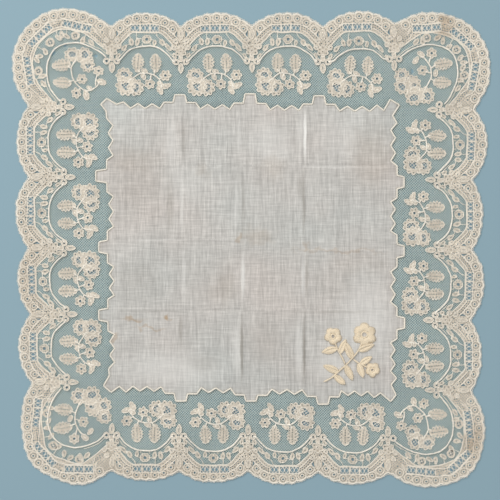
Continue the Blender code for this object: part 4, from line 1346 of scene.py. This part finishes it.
def fleuron_parts():
    """The parts of a fleuron, in the valley's own frame."""
    parts = []
    for leaf in FLEURON_LEAVES:
        loops = (leaf_outline(leaf.length, leaf.width, 5, 0.1), oval(1.9, 0.55, 12))
        parts.append([placed(loop, leaf.x, leaf.y, leaf.turn) for loop in loops])
    for sepal in FLEURON_SEPALS:
        rim = oval(sepal.half_x, sepal.half_y, 14, sepal.x, sepal.y, sepal.turn)
        parts.append([rim, circle(0.72, 10, sepal.x, sepal.y)])
    x, y, half_x, half_y, _ = FLEURON_BLOOM
    petals = [circle(0.55, 8, *at) for at in round_about(x, y, 2.7, 6)]
    parts.append([placed(petalled(half_x, half_y, 6, 0.3, 6), x, y), circle(0.9, 10, x, y), *petals])
    parts.append([oval(FLEURON_NECK.half_x, FLEURON_NECK.half_y, 14, FLEURON_NECK.x, FLEURON_NECK.y)])
    for ways in (-1, 1):
        aside = ways * EYELET_OUT
        parts.append([circle(2.3, 16, aside, EYELET_T), circle(EYELET_HOLE, 12, aside, EYELET_T)])
    return [Part([flipped(loop, 1, -1) for loop in loops], 2) for loops in parts]


def fleuron_place(side, unit):
    valley = VALLEYS[side][unit]
    return place_matrix(side, (valley.along, valley.out))


def swag_route(side, unit):
    """The route of the cord from a fleuron's eyelet to the next one's, in the world's frame."""

    def corner(angle):
        return corner_point(side, angle, smooth_value(CORNER_SWAG_RADII, angle / RADIUS_STEP))

    def plain(share):
        from_middle = abs(2 * share - 1) * UNIT_HALF
        inwards = SWAG_MIDDLE + VALLEYS[side][unit].drop + SWAG_FALL * from_middle**SWAG_POWER
        return unit_point(side, unit, share, min(inwards, EYELET_T))

    if unit == CORNER:
        first = math.degrees(EYELET_OUT / CORNER_SWAG_RADII[0])
        return line(side, corner, first, 90 - first, SWAG_STEPS * 2)
    first = EYELET_OUT / (VALLEYS[side][unit + 1].along - VALLEYS[side][unit].along)
    return line(side, plain, first, 1 - first, SWAG_STEPS)


class HANDKERCHIEF_OT_fleurons(bpy.types.Operator):
    """Makes the fleuron at each valley, and the cords that swag between them"""

    bl_idname = "handkerchief.fleurons"
    bl_label = "Fleurons and Swag Cords"

    def execute(self, context):
        sizes = context.scene.handkerchief_sizes
        fleuron, rims = laid(fleuron_parts(), FLEURON_BOTTOM, FLEURON_THICK, 3)
        fleuron.append(thread_mesh(rims, sizes.motif_cord, 4, True, 0.2))
        parts = []
        swags = []
        strands = []
        for side, unit in SCALLOPS:
            parts += [Placed(part, fleuron_place(side, unit)) for part in fleuron]
            route = smoothed(swag_route(side, unit), ROUTE_STEP)
            swags.append(lifted(route, SWAG_LEVEL))
            quarter = len(route) // 4
            for end in (route[2:quarter], route[-quarter:-2]):
                strands.append(lifted(beside(end, STRAND_APART), SWAG_LEVEL - 0.2))
        parts.append(thread_mesh(swags, sizes.swag_cord, 8, False, 0.14))
        parts.append(thread_mesh(strands, sizes.motif_cord, 4, False, 0.2))
        piece = joined("fleurons_and_swags", parts, lace_material(context.scene.handkerchief_looks))
        hand_over(piece, "cord", *(f"fleuron_{number:02d}" for number in range(1, 21)))
        return {"FINISHED"}


# The scalloped band


def window_rows(side, unit):
    """The middle and the direction of each row of three windows."""
    if unit == CORNER:
        angles = CORNER_WINDOWS[side % 2]
        middles = [Vector(turned(side, inside_corner(side, angle, CORNER_WINDOW_DEPTH))) for angle in angles]
        return list(zip(middles, (Vector(turned(side, corner_way(side, angle))) for angle in angles)))
    start, end = (Vector(turned(side, unit_point(side, unit, share, 0))) for share in (0, 1))
    along = (end - start).normalized()
    middle = (start + end) / 2 - leftwards(along) * WINDOW_T
    return [(middle + along * (WINDOW_SHIFT * hand(side)), along)]


def windows_of(side, unit):
    """The outlines of a scallop's small upright windows."""
    windows = []
    for middle, along in window_rows(side, unit):
        wide, tall = along * WINDOW_WIDE / 2, leftwards(along) * WINDOW_TALL / 2
        for place in (-1, 0, 1):
            centre = middle + along * place * WINDOW_PITCH
            corners = (-wide - tall, wide - tall, wide + tall, tall - wide)
            windows.append([tuple(centre + corner) for corner in corners])
    return windows


def corner_cord(side, ways):
    """The cord along the outer (1) or inner (-1) edge of a corner's windows, straight over each row."""
    outwards = CORNER_BAND_DEPTH - CORNER_WINDOW_DEPTH + ways * WINDOW_TALL / 2
    start, end = (turned(side, corner_band_point(side, angle, outwards)) for angle in (7, 83))
    points = []
    for middle, along in window_rows(side, CORNER):
        across = leftwards(along) * ways * (WINDOW_TALL / 2 + CORD_APART)
        reach = along * (WINDOW_PITCH + WINDOW_WIDE / 2)
        points += [tuple(middle - reach + across), tuple(middle + reach + across)]
    return [start, *points, end]


def window_bars(corners):
    """The diamond lattice of a window: a cross in its middle and a chevron at each end."""
    low_left, low_right, high_right, high_left = (Vector(corner) for corner in corners)
    start, end = (low_left + high_left) / 2, (low_right + high_right) / 2
    low_a, low_b = (low_left.lerp(low_right, share) for share in (1 / 3, 2 / 3))
    high_a, high_b = (high_left.lerp(high_right, share) for share in (1 / 3, 2 / 3))
    return (start, low_a), (start, high_a), (low_a, high_b), (high_a, low_b), (low_b, end), (high_b, end)


def cloth_rim(side, unit, plan):
    """The outline of a scallop's cloth work, with a narrow slit in from each valley's bridge."""
    if unit == CORNER:
        room = math.degrees(VALLEY_ROOM / CORNER_RADII[side][0])
    else:
        room = VALLEY_ROOM / (VALLEYS[side][unit + 1].along - VALLEYS[side][unit].along)

    def bridge(place):
        if unit == CORNER:
            return turned(side, corner_edge(side, place, -VALLEY_BRIDGE))
        return turned(side, unit_point(side, unit, place, VALLEY_BRIDGE))

    end = plan.whole - room
    inner = inner_line(side, unit, 0, end, room, plan.steps)
    return [*edge_line(side, unit), bridge(plan.whole), bridge(end), *inner, bridge(room), bridge(0)]


def grid_points(loop, pitch):
    """Points of a diagonal grid within a loop's box."""
    (low_x, low_y), (high_x, high_y) = np.min(loop, axis=0), np.max(loop, axis=0)
    rows = range(int(low_y / pitch * 2) - 1, int(high_y / pitch * 2) + 2)
    columns = range(int(low_x / pitch) - 1, int(high_x / pitch) + 2)
    return [((column + row % 2 / 2) * pitch, row * pitch / 2) for row in rows for column in columns]


def ring_gap(x, y, index):
    """One opening of a ringed hole, between two of its spokes."""
    outline = []
    step = math.tau / RING_SPOKES
    for reach, places in ((RING_INNER, (0, 1)), (RING_OUTER, (1, 0.5, 0))):
        spoke = math.asin(RING_SPOKE / 2 / reach)
        for place in places:
            angle = index * step + spoke + (step - 2 * spoke) * place
            outline.append((x + reach * math.cos(angle), y + reach * math.sin(angle)))
    return outline


def crescent(side, unit, ways):
    """A tall crescent beside a valley."""
    outer = []
    inner = []
    for step in range(7):
        bulge = math.sin(math.pi * step / 6)
        depth = CRESCENT_FROM + CRESCENT_LONG * step / 6
        outer.append((ways * (UNIT_HALF - CRESCENT_IN - 0.35 * bulge), depth))
        inner.append((ways * (UNIT_HALF - CRESCENT_IN - 0.5 - 1.2 * bulge), depth))
    return [on_unit(side, unit, along, depth) for along, depth in outer + inner[::-1]]


def scallop_cloth(side, unit):
    """The cloth work of a scallop with all its holes, its windows and the middles of its ringed holes."""
    plan = CORNER_BAND if unit == CORNER else PLAIN_BAND
    cloth = Cloth(cloth_rim(side, unit, plan))
    windows = windows_of(side, unit)
    for loop in windows:
        cloth.cut(loop, 0.15, True)
    if unit == CORNER:
        rings = [turned(side, inside_corner(side, angle, CORNER_RING_DEPTH)) for angle in CORNER_RINGS]
        places = [angle + CORNER_RING_STEP / 2 for angle in CORNER_RINGS]
        gaps = [turned(side, inside_corner(side, angle, CORNER_GAP_DEPTH)) for angle in places]
    else:
        rings = [under_edge(side, unit, hole.along, hole.depth) for hole in RING_HOLES]
        gaps = [under_edge(side, unit, along, GAP_DEPTH) for along in GAP_PLACES]
    for x, y in rings:
        cloth.cut(circle(RING_EYE, 10, x, y), 0.2, True)
    for x, y in rings:
        for index in range(RING_SPOKES):
            cloth.cut(ring_gap(x, y, index), 0.12, True)
    for ways in (-1, 1) if unit < CORNER else ():
        cloth.cut(crescent(side, unit, ways), 0.15, True)
        for aside, depth in VALLEY_HOLES:
            hole = on_unit(side, unit, ways * (UNIT_HALF - aside), depth)
            cloth.cut(circle(VALLEY_HOLE, 10, *hole), 0.2, True)
    if unit == CORNER:
        cloth.pin_holes(gaps, GAP_RADIUS, 0.25, 8)
    for row, outwards in enumerate(LADDER_ROWS):
        for first, last in plan.ladder:
            rungs = inner_line(side, unit, outwards, first + plan.ladder_step * row, last, plan.ladder_steps)
            cloth.pin_holes(spaced(rungs, LADDER_PITCH), LADDER_HOLE, 0.25, 8)
    if unit < CORNER:
        cloth.pin_holes(gaps, GAP_RADIUS, 0.25, 8)
    hem = inner_line(side, unit, HEM_ROW, *plan.hem, plan.hem_steps)
    cloth.pin_holes(spaced(hem, LADDER_PITCH), HEM_HOLE)
    cloth.pin_holes(grid_points(cloth.loops[0], PIN_PITCH), PIN_HOLE)
    return cloth, windows, rings


def picot_routes(level):
    """Small loops of thread all along the outer edge."""
    route = spaced(whole_route(edge_line), 2.0, True)
    picots = []
    for start, end in zip(route, route[1:] + route[:1]):
        here, following = Vector(start), Vector(end)
        out = leftwards((following - here).normalized())
        shape = ((0.14, 0.0), (0.12, 0.6), (0.5, 1.15), (0.88, 0.6), (0.86, 0.0))
        picots.append([(*(here.lerp(following, along) + out * reach), level) for along, reach in shape])
    return picots


def band_lines(side, unit):
    """The cords that run along a scallop, beside its windows."""
    if unit == CORNER:
        return [corner_cord(side, ways) for ways in (-1, 1)]
    ends = [inner_line(side, unit, 2.5, first, last, 20) for first, last in ((0.05, 0.3), (0.7, 0.95))]
    return [inner_line(side, unit, 5.6, 0.10, 0.90, 60), *ends]


class HANDKERCHIEF_OT_band(bpy.types.Operator):
    """Makes the scalloped band: cloth work with its holes, cords, ringed holes, window bars and picots"""

    bl_idname = "handkerchief.band"
    bl_label = "Scalloped Band"

    def execute(self, context):
        sizes = context.scene.handkerchief_sizes
        surface = lace_material(context.scene.handkerchief_looks)
        scallops, corners, rings, eyes, frames, bars, lines = ([] for _ in range(7))
        level = TOILE_BOTTOM + TOILE_THICK
        for side, unit in SCALLOPS:
            cloth, windows, holes = scallop_cloth(side, unit)
            kind = corners if unit == CORNER else scallops
            kind.append(Flat(cloth.loops, TOILE_BOTTOM, TOILE_THICK))
            for loop in windows:
                frames.append(cord_route(offset(loop, -FRAME_OUT), level, 1.05))
                bars += [((*start, level - 0.1), (*end, level - 0.1)) for start, end in window_bars(loop)]
            for x, y in holes:
                eyes.append(lifted(circle(RING_EYE_CORD, 10, x, y), level))
                rings.append(lifted(circle(RING_RADIUS, 16, x, y), level))
            lines += [lifted(spaced(points, LINE_STEP), level) for points in band_lines(side, unit)]
        scallop_toile = joined("scallop_toile", scallops, surface)
        corner_toile = joined("corner_toile", corners, surface)
        outer = cord_route(whole_route(edge_line), level - 0.1, ROUTE_STEP)
        inner = cord_route(inner_route(), level - 0.05, LINE_STEP)
        cords = [
            thread_mesh(eyes, sizes.ring_thread, 4, True),
            thread_mesh(rings, sizes.ring_thread, 4, True, 0.15),
            thread_mesh(frames, sizes.ring_thread, 4, True, 0.15),
            thread_mesh(bars, sizes.bar_thread * 1.3),
            thread_mesh(lines, sizes.motif_cord, 4, False, 0.2),
            thread_mesh([outer], sizes.outer_cord, 6, True, 0.15),
            thread_mesh([inner], sizes.motif_cord * 1.2, 4, True, 0.15),
            thread_mesh(picot_routes(level - 0.25), sizes.picot_thread),
        ]
        trim = joined("scallop_cords", cords, cord_material(context.scene.handkerchief_looks))
        hand_over(scallop_toile, "lace", "scallop_band")
        hand_over(corner_toile, "lace", "scallop_band")
        hand_over(trim, "cord")
        return {"FINISHED"}


# The net and what lies on it


def under_band(side, unit):
    """The place of the small bloom and its leaves in a plain scallop, mirrored on every second side."""
    place = place_matrix(side, unit_point(side, unit, 0.5, VALLEYS[side][unit].drop * 0.6))
    return place @ Matrix.Diagonal((hand(side), -1, 1, 1))


def bloom_eyes(side, unit):
    """The eyes of a scallop's small blooms."""
    if unit < CORNER:
        return [at_place(circle(BLOOM_EYE, 12, CENTRE_BLOOM.x, CENTRE_BLOOM.y), under_band(side, unit))]
    middles = [turned(side, inside_corner(side, spot.angle, spot.depth)) for spot in CORNER_BLOOMS]
    return [circle(CORNER_BLOOM_EYE, 14, x, y) for x, y in middles]


def net_openings():
    """The holes in sprays, blooms and fleurons, through which no net shows, in the world's frame."""
    openings = [oval(gap.half_x, gap.half_y, 12, gap.x, gap.y, gap.turn) for gap in NET_GAPS]
    for side, unit in SCALLOPS:
        pattern, flip_x, flip_y = spray_kind(side, unit)
        place = spray_place(side, unit)
        openings += [at_place(flipped(loop, flip_x, flip_y), place) for loop in spray_parts(pattern)[1]]
        openings += [at_place(loop, fleuron_place(side, unit)) for loop in fleuron_eyelets()]
        openings += bloom_eyes(side, unit)
    return openings


def net_route(start, end, height):
    """A thread of the net, drawn aside between its ends."""
    steps = max(round(math.dist(start, end) / 5.5), 1)
    points = [tuple(a + (b - a) * step / steps for a, b in zip(start, end)) for step in range(steps + 1)]
    between = [drawn_aside(*point, NET_UNEVEN) for point in points[1:-1]]
    return lifted([points[0], *between, points[-1]], height)


class HANDKERCHIEF_OT_net(bpy.types.Operator):
    """Makes the net ground from two families of threads"""

    bl_idname = "handkerchief.net"
    bl_label = "Net Ground"

    def execute(self, context):
        sizes = context.scene.handkerchief_sizes
        loops = [offset(spaced(inner_route(), 1.5, True), 0.9), linen_edge(), *net_openings()]
        threads = []
        for angle, height in zip((45, 135), NET_LEVELS):
            runs = crossing_runs(loops, sizes.net_pitch / MM, angle)
            routes = [net_route(start, end, height) for start, end in runs if math.dist(start, end) >= 0.4]
            threads.append(thread_mesh(routes, sizes.net_thread))
        piece = joined("diamond_net", threads, net_material(context.scene.handkerchief_looks), False)
        hand_over(piece, "net", "net_ground")
        return {"FINISHED"}


def scallop_leaves(side, unit):
    """The small bloom, the leaves and the tendrils of a plain scallop."""
    place = under_band(side, unit)
    x, y, half_x, half_y, _ = CENTRE_BLOOM
    pins = [circle(0.4, 6, *at) for at in round_about(x, y, 2.25, 8)]
    blooms = [[placed(petalled(half_x, half_y, 8, 0.14, 4), x, y), circle(BLOOM_EYE, 12, x, y), *pins]]
    leaves = []
    for leaf in BAND_LEAVES:
        loops = (leaf_outline(leaf.length, leaf.width, 3, 0.24), oval(leaf.length * 0.2, 0.32, 8))
        leaves.append([placed(loop, leaf.x, leaf.y, leaf.turn) for loop in loops])
    groups = []
    for group in (blooms, leaves):
        groups.append([Part([at_place(loop, place) for loop in loops], 1) for loops in group])
    return groups, [(at_place(smoothed(tendril, ROUTE_STEP), place), 0.1) for tendril in BAND_TENDRILS]


def corner_leaves(side):
    """The same around a corner. A cross of thread fills each bloom's eye, and a stalk holds each leaf."""
    blooms = []
    leaves = []
    threads = []
    for spot in CORNER_BLOOMS:
        x, y = turned(side, inside_corner(side, spot.angle, spot.depth))
        rim = placed(petalled(CORNER_BLOOM, CORNER_BLOOM, 8, 0.12, 4), x, y)
        blooms.append(Part([rim, circle(CORNER_BLOOM_EYE, 14, x, y)], 1))
        threads += [(placed([(-1.7, 0.0), (1.7, 0.0)], x, y, turn), 0.2) for turn in (20, 110)]
    for spot in CORNER_LEAVES:
        x, y = turned(side, inside_corner(side, spot.angle, spot.depth))
        loops = (leaf_outline(5.6, 3.2, 3, 0.24), oval(1.2, 0.32, 8))
        leaves.append(Part([placed(loop, x, y, -spot.angle - 90 * side + spot.turn) for loop in loops], 1))
        inner = turned(side, inside_corner(side, spot.angle, CORNER_BAND_DEPTH))
        threads.append((smoothed([inner, (x, y)], ROUTE_STEP), 0.1))
    return (blooms, leaves), threads


class HANDKERCHIEF_OT_band_leaves(bpy.types.Operator):
    """Makes the small blooms, leaves and tendrils on the net between the band and the swag cords"""

    bl_idname = "handkerchief.band_leaves"
    bl_label = "Leaves Under the Band"

    def execute(self, context):
        sizes = context.scene.handkerchief_sizes
        parts = []
        rims = []
        tendrils = []
        for side, unit in SCALLOPS:
            groups, threads = corner_leaves(side) if unit == CORNER else scallop_leaves(side, unit)
            for group in groups:
                flats, cords = laid(group, LEAF_BOTTOM, LEAF_THICK, 3)
                parts += flats
                rims += cords
            tendrils += [lifted(thread, LEAF_BOTTOM + LEAF_THICK - sunk) for thread, sunk in threads]
        parts.append(thread_mesh(rims, sizes.motif_cord * 0.8, 4, True, 0.15))
        parts.append(thread_mesh(tendrils, sizes.tendril, 4, False, 0.15))
        piece = joined("band_blooms_and_leaves", parts, lace_material(context.scene.handkerchief_looks))
        hand_over(piece, "lace")
        return {"FINISHED"}


# The raised sprig


def raised_stitch(points, heights):
    """A stitch over the padding."""
    return [(x, y, SPRIG_BOTTOM + height) for (x, y), height in zip(points, heights)]


def satin_leaf(leaf):
    """Stitches from a leaf's midrib to its edge on both sides, and the padding under them."""
    stitches = []
    count = int(leaf.length / 0.5)
    for ways in (-1, 1):
        for step in range(count + 1):
            share = step / count
            reach = min(share + 0.13, 1.0)
            half = leaf.width / 2 * leaf_body(reach) if reach < 1 else 0.15
            start = Vector((leaf.length * share * 0.94, ways * 0.12))
            end = Vector((leaf.length * reach, ways * max(half, 0.25)))
            points = placed((start, (start + end) / 2, end), leaf.x, leaf.y, leaf.turn)
            stitches.append(raised_stitch(points, (SPRIG_PAD * 0.8, SPRIG_PAD + SPRIG_TOP, 0.1)))
    outline = [(x + leaf.length / 2, y * 0.86) for x, y in leaf_outline(leaf.length, leaf.width, 2, 0.0)]
    return stitches, placed(outline, leaf.x, leaf.y, leaf.turn)


def satin_flower(flower):
    """Stitches that run out from a flower's eye over its petals, and the padding under them."""
    stitches = []
    count = int(math.tau * flower.radius / 0.62)
    shares, heights = (0.24, 0.5, 0.78, 1.0), (SPRIG_TOP, SPRIG_PAD + 0.3, SPRIG_PAD + SPRIG_TOP, 0.1)
    for step in range(count):
        angle = math.tau * step / count
        reach = flower.radius * (1 - 0.22 * (1 - abs(math.sin(flower.petals * angle / 2))))
        points = [(reach * share * math.cos(angle), reach * share * math.sin(angle)) for share in shares]
        stitches.append(raised_stitch(placed(points, flower.x, flower.y, flower.turn), heights))
    rim = petalled(flower.radius * 0.9, flower.radius * 0.9, flower.petals, 0.22)
    eye = circle(flower.radius * 0.2, 12)
    return stitches, [placed(loop, flower.x, flower.y, flower.turn) for loop in (rim, eye)]


def stem_stitches(stem):
    """Slanting stitches over a stem."""
    stitches = []
    route = smoothed(stem, 0.9)
    for begin, finish in zip(route, route[3:]):
        start, end = Vector(begin), Vector(finish)
        across = leftwards(end - start).normalized() * 0.42
        points = (start + across, (start + end) / 2, end - across)
        stitches.append(raised_stitch(points, (0.3, 0.95, 0.3)))
    return stitches


class HANDKERCHIEF_OT_sprig(bpy.types.Operator):
    """Works the raised flower sprig on the linen in satin stitches"""

    bl_idname = "handkerchief.sprig"
    bl_label = "Raised Sprig"

    def execute(self, context):
        stitches = []
        parts = []
        for index, leaf in enumerate(SPRIG_LEAVES):
            threads, pad = satin_leaf(leaf)
            stitches += threads
            parts.append(Flat([pad], SPRIG_BOTTOM, SPRIG_PAD + 0.02 * index))
        for index, flower in enumerate(SPRIG_FLOWERS):
            threads, loops = satin_flower(flower)
            stitches += threads
            parts.append(Flat(loops, SPRIG_BOTTOM, SPRIG_PAD - 0.03 * index))
            eye = circle(flower.radius * 0.24, 14, flower.x, flower.y)
            parts.append(thread_mesh([lifted(eye, SPRIG_BOTTOM + SPRIG_PAD)], 0.9 * MM, 6, True))
        parts.append(thread_mesh(stitches, 0.62 * MM, 4, False, 0.0, 0.7))
        slants = [stitch for stem in SPRIG_STEMS for stitch in stem_stitches(stem)]
        parts.append(thread_mesh(slants, 0.85 * MM, 4, False, 0.0, 0.7))
        place = Matrix.Translation((SPRIG_PLACE[0] * MM, SPRIG_PLACE[1] * MM, 0))
        surface = embroidery_material(context.scene.handkerchief_looks)
        piece = joined("satin_sprig", [Placed(part, place) for part in parts], surface)
        hand_over(piece, "embroidery", "raised_sprig")
        return {"FINISHED"}


# The stage


class HANDKERCHIEF_OT_stage(bpy.types.Operator):
    """Sets up the floor, the studio light and the camera"""

    bl_idname = "handkerchief.stage"
    bl_label = "Stage"

    def execute(self, context):
        scene = context.scene
        shape = bmesh.new()
        bmesh.ops.create_grid(shape, x_segments=1, y_segments=1, size=FLOOR_HALF)
        mesh = bpy.data.meshes.new("floor")
        shape.to_mesh(mesh)
        shape.free()
        mesh.transform(Matrix.Translation((0, 0, -FLOOR_DOWN)))
        plain = bpy.data.materials.new("plain_floor")
        plain.use_nodes = True
        inputs = plain.node_tree.nodes["Principled BSDF"].inputs
        inputs["Base Color"].default_value = scene.handkerchief_looks.floor
        inputs["Roughness"].default_value = 0.9
        inputs["Specular IOR Level"].default_value = 0.1
        mesh.materials.append(plain)
        floor = add_object("floor", mesh)
        lights = (("key", (-0.85, 0.95, 1.05), 0.9, 17.5), ("fill", (0.9, -0.6, 1.3), 1.4, 4.5))
        for name, place, size, energy in lights:
            light = bpy.data.lights.new(name, "AREA")
            light.size = size
            light.energy = energy
            lamp = add_object(name, light)
            lamp.location = place
            lamp.rotation_euler = (-Vector(place)).to_track_quat("-Z", "Y").to_euler()
        scene.view_settings.view_transform = "Standard"
        scene.world = bpy.data.worlds.new("studio")
        scene.world.use_nodes = True
        sky = scene.world.node_tree.nodes["Background"].inputs
        sky["Color"].default_value = (0.95, 0.97, 1.0, 1.0)
        sky["Strength"].default_value = 0.5
        lens = bpy.data.cameras.new("camera")
        lens.lens = CAMERA_LENS
        lens.sensor_width = 36
        scene.camera = add_object("camera", lens)
        scene.camera.location = CAMERA_PLACE
        return {"FINISHED"}


# Sizes, colours and the panel


def size_property(name, description, default):
    return bpy.props.FloatProperty(
        name=name, description=description, default=default, unit="LENGTH", precision=5
    )


def colour_property(name, description, code):
    return bpy.props.FloatVectorProperty(
        name=name, description=description, default=linear(code), size=4, min=0, max=1, subtype="COLOR"
    )


class HandkerchiefSizes(bpy.types.PropertyGroup):
    """Thread and cloth sizes"""

    linen_thickness: size_property("Linen thickness", "Thickness of the linen cloth", 0.0004)
    # The real net has about 1 mm between its threads. It is drawn coarser, or it wouldn't show.
    net_pitch: size_property("Net pitch", "Distance between the threads of the net", 0.00128)
    net_thread: size_property("Net thread", "Thickness of the net's thread", 0.00036)
    bar_thread: size_property("Bar thread", "Thickness of the bars in openings", 0.00034)
    ring_thread: size_property("Ring thread", "Thickness of the thread round each ringed hole", 0.00048)
    motif_cord: size_property("Motif cord", "Thickness of the cord round flowers and leaves", 0.0006)
    tendril: size_property("Tendril", "Thickness of the tendrils under the band", 0.00065)
    stem: size_property("Stem", "Thickness of the sprays' stems", 0.0011)
    outer_cord: size_property("Outer cord", "Thickness of the cord along the outer edge", 0.0008)
    picot_thread: size_property("Picot thread", "Thickness of the small loops along the outer edge", 0.00045)
    swag_cord: size_property("Swag cord", "Thickness of the cord between fleurons", 0.0012)
    edge_cord: size_property("Edge cord", "Thickness of the cord on the linen's edge", 0.00095)


class HandkerchiefLooks(bpy.types.PropertyGroup):
    """Colours of the fibres and of the floor"""

    linen: colour_property("Linen", "Colour of the linen", "#C4C4BE")
    aged_linen: colour_property("Aged linen", "Colour of the linen where it has yellowed", "#CAC2BA")
    # Colour of bright wear and of the painted highlights on the linen
    worn_and_lit: colour_property("Worn linen", "Colour of the linen where it is worn bright", "#F4F1EA")
    # Colour of soil and of the painted shade on the linen
    soiled_and_shaded: colour_property("Soiled linen", "Colour of the linen where it is soiled", "#827B6F")
    lace: colour_property("Lace", "Colour of the needle lace", "#DFD4C2")
    cord: colour_property("Cord", "Colour of the raised cords", "#FDF5E6")
    net: colour_property("Net", "Colour of the net's thread", "#D3DBD0")
    embroidery: colour_property("Embroidery", "Colour of the raised sprig", "#F4E3C6")
    # Colour of old stains and of the painted shade on the linen and on the lace's left and bottom sides
    stain_and_shade: colour_property("Patch", "Colour of old stains", "#A98658")
    floor: colour_property("Floor", "Colour of the floor", "#92ACB6")


class HANDKERCHIEF_PT_panel(bpy.types.Panel):
    """Lists the steps that make the handkerchief"""

    bl_label = "Lace Handkerchief"
    bl_idname = "HANDKERCHIEF_PT_panel"
    bl_space_type = "VIEW_3D"
    bl_region_type = "UI"
    bl_category = "Handkerchief"

    def draw(self, context):
        for group in (context.scene.handkerchief_sizes, context.scene.handkerchief_looks):
            box = self.layout.box()
            for name in group.bl_rna.properties.keys():
                if name not in ("rna_type", "name"):
                    box.prop(group, name)
        for step in STEPS:
            self.layout.operator(step.bl_idname)


STEPS = (
    HANDKERCHIEF_OT_stage,
    HANDKERCHIEF_OT_linen,
    HANDKERCHIEF_OT_linen_edge,
    HANDKERCHIEF_OT_net,
    HANDKERCHIEF_OT_band,
    HANDKERCHIEF_OT_band_leaves,
    HANDKERCHIEF_OT_fleurons,
    HANDKERCHIEF_OT_sprays,
    HANDKERCHIEF_OT_sprig,
)
CLASSES = (HandkerchiefSizes, HandkerchiefLooks, *STEPS, HANDKERCHIEF_PT_panel)


def register():
    for kind in CLASSES:
        bpy.utils.register_class(kind)
    bpy.types.Scene.handkerchief_sizes = bpy.props.PointerProperty(type=HandkerchiefSizes)
    bpy.types.Scene.handkerchief_looks = bpy.props.PointerProperty(type=HandkerchiefLooks)


def unregister():
    del bpy.types.Scene.handkerchief_looks
    del bpy.types.Scene.handkerchief_sizes
    for kind in reversed(CLASSES):
        bpy.utils.unregister_class(kind)


def main():
    register()
    bpy.ops.handkerchief.stage()
    bpy.ops.handkerchief.linen()
    bpy.ops.handkerchief.linen_edge()
    bpy.ops.handkerchief.net()
    bpy.ops.handkerchief.band()
    bpy.ops.handkerchief.band_leaves()
    bpy.ops.handkerchief.fleurons()
    bpy.ops.handkerchief.sprays()
    bpy.ops.handkerchief.sprig()


if __name__ == "__main__":
    main()
